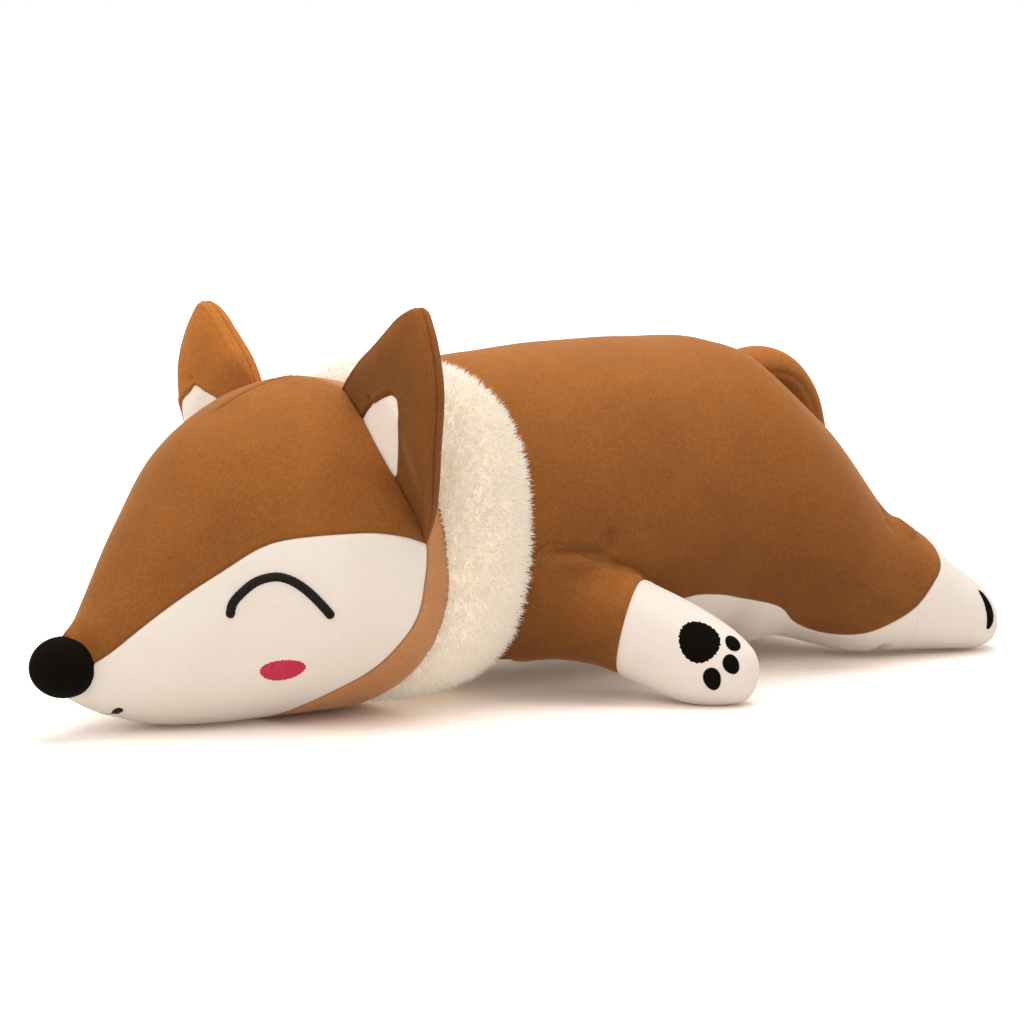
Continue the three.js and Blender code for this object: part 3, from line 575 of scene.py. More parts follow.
class Wire:
    # one output of a node; sums, differences and products of wires add their Math nodes
    def __init__(self, recipe, socket):
        self.recipe, self.socket = recipe, socket

    def worked(self, operation, first, second):
        return self.recipe.node("Math", {"operation": operation}, {0: first, 1: second})

    def __add__(self, other):
        return self.worked("ADD", self, other)

    def __sub__(self, other):
        return self.worked("SUBTRACT", self, other)

    def __rsub__(self, other):
        return self.worked("SUBTRACT", other, self)

    def __mul__(self, other):
        return self.worked("MULTIPLY", self, other)

    __radd__, __rmul__ = __add__, __mul__


class Recipe:
    # the nodes of one material, or of a world
    def __init__(self, name, kind=bpy.data.materials):
        self.made = kind.new(name)
        self.made.use_nodes = True
        self.tree = self.made.node_tree
        self.tree.nodes.clear()

    def node(self, kind, settings=None, values=None, output=0):
        made = self.tree.nodes.new("ShaderNode" + kind)
        for key, value in (settings or {}).items():
            setattr(made, key, value)
        for key, value in (values or {}).items():
            if isinstance(value, Wire):
                self.tree.links.new(value.socket, made.inputs[key])
            else:
                made.inputs[key].default_value = value
        return Wire(self, made.outputs[output]) if made.outputs else None

    def noise(self, pitch, detail=2, roughness=0.55, distortion=0):
        # noise whose grains are about one pitch across, in millimetres
        return self.node("TexNoise", None, {
            "Vector": self.node("TexCoord", output="Object"), "Scale": 1 / (pitch * mm),
            "Detail": detail, "Roughness": roughness, "Distortion": distortion})

    def larger(self, first, second):
        return self.node("Math", {"operation": "MAXIMUM"}, {0: first, 1: second})

    def mark(self, name):
        return self.node("Attribute", {"attribute_name": name}, output="Fac")

    def between(self, value, low, high, start=0, end=1):
        # start below low, end above high, and an even slope between them
        return self.node("MapRange", {"clamp": True}, {
            "Value": value, "From Min": low, "From Max": high, "To Min": start, "To Max": end})

    def blend(self, factor, first, second, how="MIX"):
        mixed = {0: factor, 6: first, 7: second}
        return self.node("Mix", {"data_type": "RGBA", "blend_type": how}, mixed, output=2)

    def bump(self, height, strength, depth):
        return self.node(
            "Bump", None, {"Height": height, "Strength": strength, "Distance": depth * mm})

    def rays(self):
        # whether the camera sees a place itself, and whether it does in or through something
        seen, glossy, through = (
            self.node("LightPath", output=f"Is {ray} Ray")
            for ray in ("Camera", "Glossy", "Transmission"))
        return seen, self.larger(glossy, through)

    def cloth(
            self, colour, roughness, normal, sheen, tint, sheenRoughness=0.4, gloss=0.25, glow=0):
        surface = self.node("BsdfPrincipled", None, {
            "Base Color": colour, "Roughness": roughness, "Normal": normal, "Sheen Weight": sheen,
            "Sheen Roughness": sheenRoughness, "Sheen Tint": tint, "Specular IOR Level": gloss,
            "Emission Color": colour, "Emission Strength": glow})
        self.node("OutputMaterial", None, {"Surface": surface})
        return self.made


def colourOf(*rgb):
    # a colour as a painter writes it, from 0 to 255, in Blender's even light
    share = np.array(rgb) / 255
    return (*np.where(share < 0.04045, share / 12.92, ((share + 0.055) / 1.055) ** 2.4).tolist(), 1)


pile = {
    # across a tuft, a grain and a brushed patch, in millimetres, and how much each one shows
    "tuft": 0.55, "grain": 2.2, "patch": 34, "shares": (1.0, 0.4, 0.25),
    "tones": (0.3, 0.5, 0.72),  # where the deep, the full and the pale colour are reached
    "paintedShadeFacing": -0.2, "paintedLightFacing": 0.95,  # how far up cloth faces where the painted shade is deepest and the painted light palest
}


def plush(
        name, deep, full, pale, sheen, tint, nap=0.5, seams=0.35, bump=0.35, droop=(1, 1),
        gloss=0.2, glow=0):
    # short brushed pile: grains the size of single tufts, and patches where the pile lies another
    # way; over them painted shade along a seam, painted light where the seam mark is below zero,
    # and painted light and shade by how far up the cloth faces, deeper facing down and paler facing
    # up, with seams and droop as their strengths; the tone is the sum of the three noises, about
    # half on average
    r = Recipe(name)
    tuft = r.noise(pile["tuft"], 2, 0.6)
    grain = r.noise(pile["grain"], 3, 0.6)
    brushed = r.noise(pile["patch"], 3, 0.55, distortion=0.6)
    a, b, c = pile["shares"]
    tone = tuft * (a * nap) + grain * (b * nap) + brushed * c + (0.5 - (a + b) / 2 * nap - c / 2)
    low, middle, high = pile["tones"]
    colour = r.blend(r.between(tone, low, middle), colourOf(*deep), colourOf(*full))
    colour = r.blend(r.between(tone, middle, high), colour, colourOf(*pale))
    paintedFacingLight = r.between(r.mark("nap"), pile["paintedShadeFacing"], pile["paintedLightFacing"], *droop)
    # painted shade along seams, painted light where the seam mark is below zero, and painted light
    # and shade by how far up the cloth faces
    shade = (1 - r.mark("seam") * seams) * paintedFacingLight
    shade = r.node("CombineColor", None, {0: shade, 1: shade, 2: shade})
    height = tuft * 0.6 + grain * 0.4
    return r.cloth(
        r.blend(1.0, colour, shade, "MULTIPLY"), r.between(brushed, 0.3, 0.7, 0.8, 0.95),
        r.bump(height, bump, 0.5), sheen, colourOf(*tint), 0.3, gloss, glow)


def fur(name):
    # long pile: warmer at the roots, each lock a little different, and a faint glow of painted light
    # that stands in for the light that pale hairs pass on to each other
    r = Recipe(name)
    colour = r.blend(r.mark("tip"), colourOf(250, 236, 214), colourOf(255, 248, 238))
    colour = r.blend(r.between(r.mark("lock"), 0, 1, 0, 0.3), colour, colourOf(244, 226, 200))
    bump = r.bump(r.noise(0.6), 0.1, 0.2)
    return r.cloth(colour, 0.9, bump, 0.3, colourOf(255, 246, 232), 0.5, 0.1, 0.16)


def thread(name, deep, pale, gloss, sheen):
    # satin stitches side by side, each a little higher in its middle
    r = Recipe(name)
    wide = 0.42  # a stitch, in millimetres
    spot = r.node("CombineXYZ", None, {
        0: r.mark("along") * (1 / wide), 1: r.mark("across") * 0.12, 2: 0.0})
    stitch = r.node("TexNoise", None, {"Vector": spot, "Scale": 1.0, "Detail": 2, "Roughness": 0.5})
    colour = r.blend(r.between(stitch, 0.3, 0.7), colourOf(*deep), colourOf(*pale))
    bump = r.bump(stitch * 0.8 + r.noise(0.5) * 0.2, 0.6, 0.35)
    roughness = r.between(stitch, 0.3, 0.7, 0.75, 0.5)
    return r.cloth(colour, roughness, bump, sheen, colourOf(*pale), 0.5, gloss)


def fibre(name):
    # pale wisps
    r = Recipe(name)
    wisp = r.noise(3, 4, 0.7, distortion=1.5)
    colour = r.blend(wisp, colourOf(214, 210, 202), colourOf(250, 248, 244))
    return r.cloth(colour, 0.95, r.bump(wisp, 0.6, 1.5), 0.2, colourOf(255, 255, 255))


looks = {
    # brown is painted darker where it faces down and paler where it faces up (droop)
    "brown": (plush(
        "BrownPlush", (114, 63, 20), (140, 83, 32), (166, 102, 47), 0.35, (255, 206, 144),
        droop=(0.7, 1.26)), "brown_plush"),
    "tan": (plush(
        "TanPlush", (160, 106, 62), (184, 126, 80), (200, 146, 102), 0.3, (255, 222, 180)),
        "tan_plush"),
    # cream: a faint glow of painted light that lifts it in shade, and a little painted light and
    # shade by facing
    "cream": (plush(
        "CreamPlush", (217, 202, 188), (224, 211, 198), (232, 220, 209), 0.12, (255, 246, 236),
        nap=0.35, seams=0.25, bump=0.22, droop=(0.97, 1.05), glow=0.05), "cream_plush"),
    "fur": (fur("CreamFur"), "cream_fur"),
    "velvet": (plush(
        "BlackVelvet", (7, 5, 3), (12, 9, 6), (24, 19, 13), 0.02, (150, 130, 110), bump=0.3,
        gloss=0.05), "black_velvet"),
    "black": (thread("BlackThread", (10, 8, 5), (36, 28, 20), 0.14, 0.02), "black_thread"),
    "red": (thread("RedThread", (170, 34, 56), (200, 54, 76), 0.2, 0.05), "red_thread"),
    "fibre": (fibre("FibreFilling"), "fibre_filling"),
}
print("materials made")


# Head: one form, cut along its seams into crown, two cheeks and the panel at the back

def sewn(points, faces, *seams):
    # settles a form's points onto its seams, each given with the size of the cells beside it, and
    # lists for each point where it is, which way the surface faces, and how far each seam is
    points = points.copy()
    points[:, 2] = grounded(points[:, 2])
    normals = normalsOf(points, faces)
    distances = [settled(points, seam(points, normals), cell) for seam, cell in seams]
    return np.hstack([points, normals, np.stack(distances, 1)])


def shaped(values, sink, creases=()):
    # cloth that sinks into its seams and creases, and swells unevenly between them
    swell = lumps(values[:, :3]) * smoothStep(values[:, 2], *cloth["lumpRise"])
    swell += creased(values[:, :3], creases)
    points = values[:, :3] + values[:, 3:6] * (sink + swell)[:, None]
    points[:, 2] = np.maximum(points[:, 2], cloth["floor"])
    return points


def paintedSeamShade(*distances):
    # painted shade: 1 on the nearest of a few seams, falling off beside it
    return bell(np.min(np.abs(distances), axis=0), cloth["paintedShadeWidth"])


def paintedEdgeLight(distance):
    # a painted highlight along an edge, given as a negative seam mark
    return -cloth["paintedEdgeLight"] * bell(distance, cloth["paintedLightWidth"])


def rearSeam(points, normals):
    # its curve in the side view, moved forward in a bell across the crown
    curve = curveThrough(head["rearSeam"], head)
    distance, direction = seamInSideView(points, normals, curve)
    peak = bell(points[:, 1], head["seamPeakWidth"])
    peak *= smoothStep(points[:, 2], *head["seamPeakRise"])
    return distance + head["seamPeak"] * peak, direction


def addHead():
    points, faces = poledForm(loftGrid(head))
    points = relaxed(points, faces, 3)
    curve = curveThrough(head["cheekEdge"], head)
    sideways = np.array([[0, 1.0, 0]])
    values = sewn(
        points, faces, (lambda p, n: seamInSideView(p, n, curve), 2), (rearSeam, 2),
        (lambda p, n: alongSurface(p[:, 1], sideways + 0 * p, n), 0.2))
    edge, rear, chin = 6, 7, 8
    values, faces = refined(values, faces, (edge, rear, chin))
    (back, backFaces), (front, frontFaces) = parted(values, faces, rear)
    (crown, crownFaces), (cheeks, cheekFaces) = parted(front, frontFaces, edge)
    start, full = (head["start"][0] + share * head["length"] for share in head["dart"])
    dart = groove(crown[:, chin], head["dartDepth"], head["dartWidth"], head["dartSwell"])
    dart *= smoothStep(crown[:, 0], start, full) * (crown[:, 2] > 0.5 * head["height"])
    sink = np.minimum(groove(crown[:, edge]), groove(crown[:, rear], cloth["deepSeam"])) + dart
    # painted shade along the rear seam and in the dart, a painted highlight along the crown's edge
    # to the cheeks, and painted shade along the cheeks' and back panel's seams
    mark = np.maximum(paintedSeamShade(crown[:, rear]), -head["dartPaintedShade"] * dart / head["dartDepth"])
    options = {"body": "head", "thickness": cloth["thickness"], "fill": 0.95}
    addPiece("crownPanel", shaped(crown, sink), crownFaces, "brown",
             marks={"seam": mark + paintedEdgeLight(crown[:, edge])}, **options)
    for name, side in sides.items():
        cheek, sideFaces = cut(cheeks, cheekFaces, side * cheeks[:, chin])
        seams = [cheek[:, k] for k in (edge, rear, chin)]
        sink = np.min([groove(seam) for seam in seams], axis=0)
        addPiece(f"cheekPanel_{name}", shaped(cheek, sink), sideFaces, "cream",
                 marks={"seam": paintedSeamShade(*seams[1:])}, **options)
    sink = groove(back[:, rear], cloth["deepSeam"])
    addPiece("headBackPanel", shaped(back, sink), backFaces, "tan",
             marks={"seam": paintedSeamShade(back[:, rear])}, **options)
    points, faces = poledForm(loftGrid(head, inset=cloth["fillingInset"])[::3, ::3])
    addPiece("headFilling", points, faces, "fibre", "head", fill=0.95)


addHead()
print("head made")

# Trunk: body and thighs in one surface, cut into back, belly and the two hind feet

creases = [
    # from the collar along the top of the left sleeve, and the fold under it
    ([(-33, -71.5, 70.5), (-24, -73.5, 70.2), (-14, -75.5, 69.8), (-3, -77, 68), (4, -78, 65),
      (12, -77, 59)], 2.0, 1.9),
    ([(-26, -75.5, 65), (-14, -79, 65.5), (-4, -81, 63.5), (4, -83, 59)], -1.8, 4.5),
    # the dimple over the corner between sleeve and body
    ([(4, -77, 66), (3, -77, 73), (2, -77, 80)], 2.0, 3.4),
    # where the haunch meets the lower leg, and the fold behind it
    ([(183, -66, 77), (181.5, -71, 76), (180, -76, 73), (179, -80, 69), (179, -84, 64)], 2.2, 2.2),
    ([(190, -68, 70), (195, -75, 66), (199, -80, 60)], -2.0, 6),
    # under the heel
    ([(187, -56, 1), (184, -67, 3.5), (181.5, -75, 6), (179, -78.5, 8.5)], 3.2, 1.9),
]


def footSeam(points, normals):
    # the seam square across each hind leg, where the foot starts
    side = np.where(points[:, 1] < 0, -1, 1)
    turn = math.radians(leg["turn"]) * side
    x, y = points[:, 0] - leg["start"][0], points[:, 1] - side * leg["start"][1]
    way = np.stack([np.cos(turn), np.sin(turn), 0 * turn], 1)
    along = x * way[:, 0] + y * way[:, 1]
    return alongSurface(along - (leg["length"] - leg["footLength"]), way, normals)


def addTrunk():
    cell = body["cell"]
    below, beside, above = body["room"]
    reach = leg["start"][0] + leg["length"]
    grid, origin = gridOver(
        (bodyFront - below, -beside, -below), (reach, beside, body["height"] + above), cell)
    field = trunkDistance(grid)
    points, faces = surfaceNet(field, origin, cell)
    points = relaxed(points, faces, 3)
    curve = curveThrough(body["bellyEdge"], body)
    values = sewn(
        points, faces, (lambda p, n: seamInSideView(p, n, curve), cell), (footSeam, cell))
    edge, foot = 6, 7
    values, faces = refined(values, faces, (edge, foot))
    (back, backFaces), (under, underFaces) = parted(values, faces, edge)
    (feet, feetFaces), (belly, bellyFaces) = parted(under, underFaces, foot)
    options = {"body": "torso", "thickness": cloth["thickness"], "fill": 0.9}
    # painted highlight along the brown edge over the belly
    addPiece("backPanel", shaped(back, groove(back[:, edge]), creases), backFaces, "brown",
             marks={"seam": paintedEdgeLight(back[:, edge])}, **options)
    pieces = [("bellyPanel", belly, bellyFaces)]
    for name, side in sides.items():
        pieces.append((f"hindFoot_{name}", *cut(feet, feetFaces, side * feet[:, 1])))
    for name, part, partFaces in pieces:
        sink = np.minimum(groove(part[:, edge]), groove(part[:, foot], leg["footGroove"], swell=0))
        addPiece(name, shaped(part, sink, creases), partFaces, "cream",
                 marks={"seam": 0}, **options)
    points, faces = surfaceNet(field[::2, ::2, ::2] + cloth["fillingInset"], origin, 2 * cell)
    addPiece("bodyFilling", points, faces, "fibre", "torso", fill=0.9)


addTrunk()
print("trunk made")

# Arms: each sleeve runs out of the trunk without a seam, and ends in a cream paw

def sampled(field, origin, cell, points):
    # a field's values at places between its grid points, weighted by nearness
    spot = (points - origin) / cell
    low = np.clip(np.floor(spot).astype(int), 0, np.array(field.shape) - 2)
    f = spot - low
    total = 0
    for corner in np.ndindex(2, 2, 2):
        weight = np.prod(np.where(np.array(corner) == 1, f, 1 - f), axis=1)
        total = total + weight * field[tuple((low + corner).T)]
    return total


def cuffSeam(points, normals):
    # the left arm's seam between sleeve and paw, a plane that leans back
    low, high = arm["cuff"]
    lean = (high - low) / arm["height"]
    turn = -math.radians(arm["turn"])
    along, _ = localPlace(arm, -1, points[:, 0], points[:, 1])
    way = np.array([[math.cos(turn), math.sin(turn), -lean]]) + 0 * points
    return alongSurface(along - low - lean * points[:, 2], way, normals)


def addArms():
    cell = arm["cell"]
    grid, origin = gridOver(*arm["around"], cell)
    trunk = trunkDistance(grid)
    x, y, z = grid
    narrow, wide = arm["blend"]
    low, high = arm["cuff"]
    fade = smoothStep(z, *arm["blendRise"]) * (1 - smoothStep(x, *arm["blendRear"]))
    width = narrow + (wide - narrow) * fade
    past = localPlace(arm, -1, x, y)[0] - low - (high - low) / arm["height"] * z
    fade = 1 - smoothStep(past, -arm["pawFade"], 0)
    width = arm["pawBlend"] + (width - arm["pawBlend"]) * fade
    points, faces = surfaceNet(runTogether(trunk, outside(arm, -1, *grid), width), origin, cell)
    points = relaxed(points, faces, 2)
    lift = sampled(trunk, origin, cell, points) - arm["edge"]
    values = sewn(points, faces, (cuffSeam, cell))
    cuff, clear = 6, 7
    lift -= arm["pawEdge"] * smoothStep(values[:, cuff], -1, 2)
    values = np.hstack([values, lift[:, None]])
    values, faces = refined(values, faces, (cuff,))
    values, faces = cut(values, faces, values[:, clear])
    (paw, pawFaces), (sleeve, sleeveFaces) = parted(values, faces, cuff)
    low, high = arm["bend"]
    for name, side in sides.items():
        bend = ["torso", f"arm_{name}", (0, side * low * mm, 0), (0, side * high * mm, 0)]
        mirror = np.array([1, -side, 1, 1, -side, 1])
        for piece, part, partFaces, look, options in (
            ("sleeve", sleeve, sleeveFaces, "brown", {"between": bend}),
            ("frontPaw", paw, pawFaces, "cream", {"body": f"arm_{name}"}),
        ):
            part = part.copy()
            part[:, :6] *= mirror
            # the brown sleeve gets a painted highlight along its cuff
            addPiece(f"{piece}_{name}", shaped(part, groove(part[:, cuff]), creases),
                     partFaces[:, ::-side], look, thickness=cloth["thickness"], fill=0.9,
                     marks={"seam": paintedEdgeLight(part[:, cuff]) * (look == "brown")}, **options)
        points, faces = poledForm(loftGrid(arm, side, cloth["fillingInset"]))
        addPiece(f"armFilling_{name}", points, faces, "fibre", between=bend, fill=0.9)


addArms()
print("arms made")

# Ears: a puffed leaf with a seam round its rim and a cream patch let into its front

ear = {
    "base": (head["start"][0] + 116, 0.443 * head["halfWidth"], 0.9735 * head["height"]),
    "span": 100, "thickness": 15, "grid": (121, 260), "rounding": 2.4, "middle": (0.06, 0.4, -0.05),
    # the two edges from the base to the tip, back, out and up as shares of the span
    "inner": {
        "left": [
            (0.1, -0.2, -0.06), (0.085, -0.095, 0.022), (0.065, 0.05, 0.116), (0.05, 0.22, 0.213),
            (0.05, 0.332, 0.29), (0.05, 0.421, 0.349), (0.06, 0.521, 0.387)],
        "right": [
            (0.05, 0, -0.12), (0.05, 0.06, 0), (0.05, 0.134, 0.113), (0.05, 0.209, 0.19),
            (0.05, 0.29, 0.262), (0.05, 0.365, 0.33), (0.05, 0.44, 0.375), (0.06, 0.521, 0.387)]},
    "outer": [
        (0.16, 0.36, -0.72), (0.12, 0.49, -0.55), (0.075, 0.58, -0.4), (0.04, 0.64, -0.24),
        (0.035, 0.666, 0.033), (0.045, 0.611, 0.242), (0.06, 0.521, 0.387)],
    # how much higher its upper half stands, and where that starts and ends
    "stand": {"left": 1.5, "right": -3.0}, "standRise": (-10, 37),
    # where its front is sewn to the crown, and how far up it is drawn towards that seam, in mm
    "seat": [
        (0.095, -0.145, 0.007), (0.057, -0.021, -0.036), (0.038, 0.098, -0.107),
        (0.03, 0.17, -0.167), (0.03, 0.229, -0.228), (0.044, 0.284, -0.299),
        (0.061, 0.327, -0.367), (0.095, 0.375, -0.47), (0.13, 0.401, -0.568),
        (0.15, 0.419, -0.646)],
    "seatReach": 26,
    # the patch and the gathered place above it, out and up
    "patch": {
        "left": [
            (0.104, -0.104), (0.144, -0.07), (0.231, -0.032), (0.319, -0.003), (0.39, 0.017),
            (0.425, 0.008), (0.448, -0.018), (0.452, -0.095), (0.393, -0.21), (0.354, -0.302),
            (0.33, -0.366), (0.22, -0.46), (0.05, -0.35), (0, -0.2)],
        "right": [
            (0.2, -0.25), (0.3, -0.13), (0.342, -0.091), (0.383, -0.077), (0.429, -0.058),
            (0.475, -0.042), (0.502, -0.053), (0.531, -0.079), (0.61, -0.128), (0.632, -0.187),
            (0.62, -0.27), (0.57, -0.42), (0.4, -0.5), (0.25, -0.4)]},
    "pinch": {"left": (0.188, -0.033), "right": (0.513, -0.016)},
    "pinchDepth": 1.8, "pinchWidth": 2.2,
    # the cloth round the patch sinks to it behind a lip, and rises in a ridge beside the rim seam
    "recess": 0.9, "lip": 0.5, "lipAt": 1.6, "lipWidth": 1.1,
    "ridge": 0.5, "ridgeAt": 2.4, "ridgeWidth": 1.0,
    # depth and width of the rim seam's groove, the same of the patch's, and how the patch swells
    "rimGroove": (1.1, 1.0), "patchGroove": (0.8, 1.2), "patchDepth": 0.5, "patchSwell": (0.5, 8),
    "patchThickness": 0.8,
    # how dark and wide the painted shade lines are at the pinch and along the seat
    "pinchPaintedShade": (0.8, 1.3), "seatPaintedShade": (1.6, 0.9),
    # painted light: the far ear is painted lighter, the patches a little, and an offset to how far
    # up the ear faces
    "lit": {"left": 0.0, "right": 1.0}, "nap": 0.2, "patchPaintedLight": 0.4, "lumpsApart": 40,
}


def distanceAlong(path):
    # the sum of the steps up to each place
    return np.concatenate([[0], np.cumsum(np.linalg.norm(np.diff(path, axis=0), axis=1))])


def roundedLoop(points, count, rounding):
    # a closed line through points, evenly spaced, each place the mean of its surroundings
    loop = np.vstack([points, points[:1]])
    reach = distanceAlong(loop)
    even = np.arange(count) * reach[-1] / count
    even = np.stack([np.interp(even, reach, column) for column in loop.T], 1)
    offsets = np.arange(-12, 13)
    weights = np.exp(-(offsets * (reach[-1] / count) / rounding) ** 2 / 2)
    return sum(w * np.roll(even, k, axis=0) for k, w in zip(offsets, weights)) / weights.sum()


def addEar(name, side):
    # the leaf's outline: v runs from its front's middle (0) over the rim (1) to its back's (2)
    t = spread(80)
    edge = np.vstack([alongRows(ear["inner"][name], t), alongRows(ear["outer"], t[::-1])[1:]])
    rim = roundedLoop(edge * ear["span"], ear["grid"][1], ear["rounding"])
    middle = np.array(ear["middle"]) * ear["span"]
    v = np.linspace(0, 2, ear["grid"][0])[:, None]
    w = np.sin(np.pi * v / 2)
    puff = ear["thickness"] / 2 * np.sign(1 - v) * np.sqrt(np.maximum(1 - w**5, 0))
    out = rim - middle
    grid = middle + out * w[..., None]
    seam = alongRows(ear["seat"], spread(60)) * ear["span"]
    above, away = besideCurve(grid[..., 1:].reshape(-1, 2), seam[:, 1:])
    seat = np.interp(grid[..., 2].ravel() - above * away[:, 1], seam[::-1, 2], seam[::-1, 0])
    above, seat = above.reshape(grid.shape[:2]), seat.reshape(grid.shape[:2])
    pull = (1 - smoothStep(above, 0, ear["seatReach"])) * np.clip(5 - 4 * v, 0, 1)
    grid[..., 0] -= puff
    grid[..., 0] += pull * (seat - grid[..., 0])
    grid = grid + unit(out) * (groove(puff, *ear["rimGroove"], 0) * (w > 0.9))[..., None]
    grid[..., 2] += ear["stand"][name] * smoothStep(grid[..., 2], *ear["standRise"])
    grid[[0, -1]] = grid[[0, -1]].mean(1, keepdims=True)
    points, faces = poledForm(grid)
    normals = normalsOf(points, faces)
    fromRim = poledValues(np.linalg.norm(out, axis=1) * (1 - w))
    front = poledValues(1 - v + 0 * seat) > 0
    # how far inside the patch each place is, and how far from the pinch
    patch = alongRows(ear["patch"][name] + ear["patch"][name][:1], spread(200)) * ear["span"]
    depth = np.where(front, -besideCurve(points[:, 1:], patch)[0], -9)
    pinch = np.hypot(*(points[:, 1:] - np.array(ear["pinch"][name]) * ear["span"]).T)
    sink = ear["lip"] * bell(depth + ear["lipAt"], ear["lipWidth"])
    sink = -ear["recess"] * smoothStep(depth, -0.3, 0.9) + sink
    sink = sink + ear["ridge"] * bell(fromRim - ear["ridgeAt"], ear["ridgeWidth"])
    sink = sink - ear["pinchDepth"] * bell(pinch, ear["pinchWidth"]) * front
    middleLine = poledValues(puff + 0 * seat)
    # painted shade along the rim seam and the patch's edge, and at the pinch and along the seat
    paintedShadeLines = [bell(distance, cloth["paintedShadeWidth"]) for distance in (middleLine, depth)]
    for mark, distance in (("pinchPaintedShade", pinch), ("seatPaintedShade", poledValues(above))):
        dark, wide = ear[mark]
        paintedShadeLines.append(dark * front * bell(distance, wide))
    seam = np.max(paintedShadeLines, axis=0)
    leaf = points + normals * (sink + lumps(points + ear["lumpsApart"] * side))[:, None]
    values, patchFaces = cut(np.hstack([points, normals, depth[:, None]]), faces, depth)
    depth = values[:, 6]
    swell, reach = ear["patchSwell"]
    rise = -ear["patchDepth"] + groove(depth, *ear["patchGroove"], 0)
    rise = rise + swell * smoothStep(depth, 0, reach)
    inset = values[:, :3] + values[:, 3:6] * rise[:, None]
    base, toToy = np.array(ear["base"]) - [0, 0, sunk], np.array([1, side, 1])
    # painted light: the far ear's colour is lifted through its seam and facing marks, and each patch
    # is painted lighter and as if it faced straight up
    lit = ear["lit"][name]
    addPiece(f"ear_{name}", (base + leaf) * toToy, faces[:, ::side], "brown", f"ear_{name}",
             fill=0.8, marks={"seam": seam - lit, "nap": normals[:, 2] + lit - ear["nap"]})
    addPiece(f"innerEar_{name}", (base + inset) * toToy, patchFaces[:, ::side], "cream",
             f"ear_{name}", thickness=ear["patchThickness"],
             marks={"seam": bell(depth, cloth["paintedShadeWidth"]) - ear["patchPaintedLight"], "nap": 1})


for name, side in sides.items():
    addEar(name, side)
print("ears made")

# Tail: flattened rings carried down a bent path

tail = {
    "root": (bodyFront + 0.762 * body["length"], 0, 0.842 * body["height"]),
    # lit is painted light: a negative seam mark that makes the tail and its tip paler
    "length": 110, "halfWidth": 23, "halfDepth": 15, "tip": 27, "grid": (90, 90), "lit": -0.5,
    "sideGroove": (1.0, 1.2),  # its two side seams' depth and width
    # how far along, how far up, and how full
    "rows": [
        (0, 0, 0.3), (0.13, 0.045, 0.73), (0.265, 0.015, 0.93), (0.36, -0.095, 1),
        (0.415, -0.26, 1), (0.495, -0.46, 0.93), (0.595, -0.66, 0.73), (0.69, -0.84, 0)],
}


def addTail():
    rings, count = tail["grid"]
    table = alongRows(tail["rows"], spread(rings), mirrored=(2,))
    path = np.stack([table[:, 0], 0 * table[:, 0], table[:, 1]], 1) * tail["length"]
    path = np.array(tail["root"]) + path
    side = np.array([0, 1.0, 0])
    out = np.cross(unit(np.gradient(path, axis=0)), side)
    angle = turns(count)[:, None]
    full = np.maximum(table[:, 2], 0)[:, None, None]
    full[[0, -1]] = 0
    across, up = np.cos(angle), np.sin(angle)
    seam = groove(tail["halfDepth"] * up, *tail["sideGroove"], 0) * full
    grid = path[:, None] + side * (tail["halfWidth"] * full * across + np.sign(across) * seam)
    grid = grid + out[:, None] * tail["halfDepth"] * full * up
    points, faces = poledForm(grid)
    points = relaxed(points, faces, 1)
    low = tail["root"][2] + tail["rows"][-1][1] * tail["length"] + tail["tip"]
    down = np.array([[0, 0, -1.0]])
    values = sewn(points, faces, (lambda p, n: alongSurface(low - p[:, 2], down + 0 * p, n), 1.2))
    for name, sign, look in (("tail", -1, "brown"), ("tailTip", 1, "cream")):
        part, partFaces = cut(values, faces, sign * values[:, 6])
        addPiece(name, shaped(part, groove(part[:, 6])), partFaces, look, "tail",
                 thickness=cloth["thickness"], marks={"seam": tail["lit"]}, fill=0.8)


addTail()
print("tail made")

# Nose: a velvet ball, gathered where it is sewn on

nose = {
    "radius": 14.3, "along": 1.04, "forward": 5.7, "rise": 0.2105, "grid": (110, 160),
    "wide": 1.03, "high": 0.93,
    # the folds behind it and how much it narrows there, and at which angles from its front
    "gathers": 17, "gather": 0.035, "gatherRise": (1.9, 2.7),
    "narrow": 0.06, "narrowRise": (2.0, 2.9),
    "lumps": 0.5, "lumpPace": 1.7,
}


def addNose():
    rings, count = nose["grid"]
    v = np.linspace(0, np.pi, rings)[:, None]
    u = turns(count)
    gather = nose["gather"] * smoothStep(v, *nose["gatherRise"])
    gather = gather * np.cos(nose["gathers"] * u + 2 * np.sin(3 * u))
    r = nose["radius"] * (1 + gather - nose["narrow"] * smoothStep(v, *nose["narrowRise"]))
    grid = np.stack([
        head["start"][0] - nose["forward"] - nose["along"] * r * np.cos(v),
        r * nose["wide"] * np.sin(v) * np.cos(u),
        nose["rise"] * head["height"] - sunk + r * nose["high"] * np.sin(v) * np.sin(u)], -1)
    points, faces = poledForm(grid)
    uneven = nose["lumps"] * lumps(nose["lumpPace"] * points)
    points = points + normalsOf(points, faces) * uneven[:, None]
    addPiece("nose", points, faces, "velvet", "head", marks={"seam": 0}, fill=0.9)


addNose()
print("nose made")

# Embroidery: satin stitches that lie on a form, along a line or over an oval

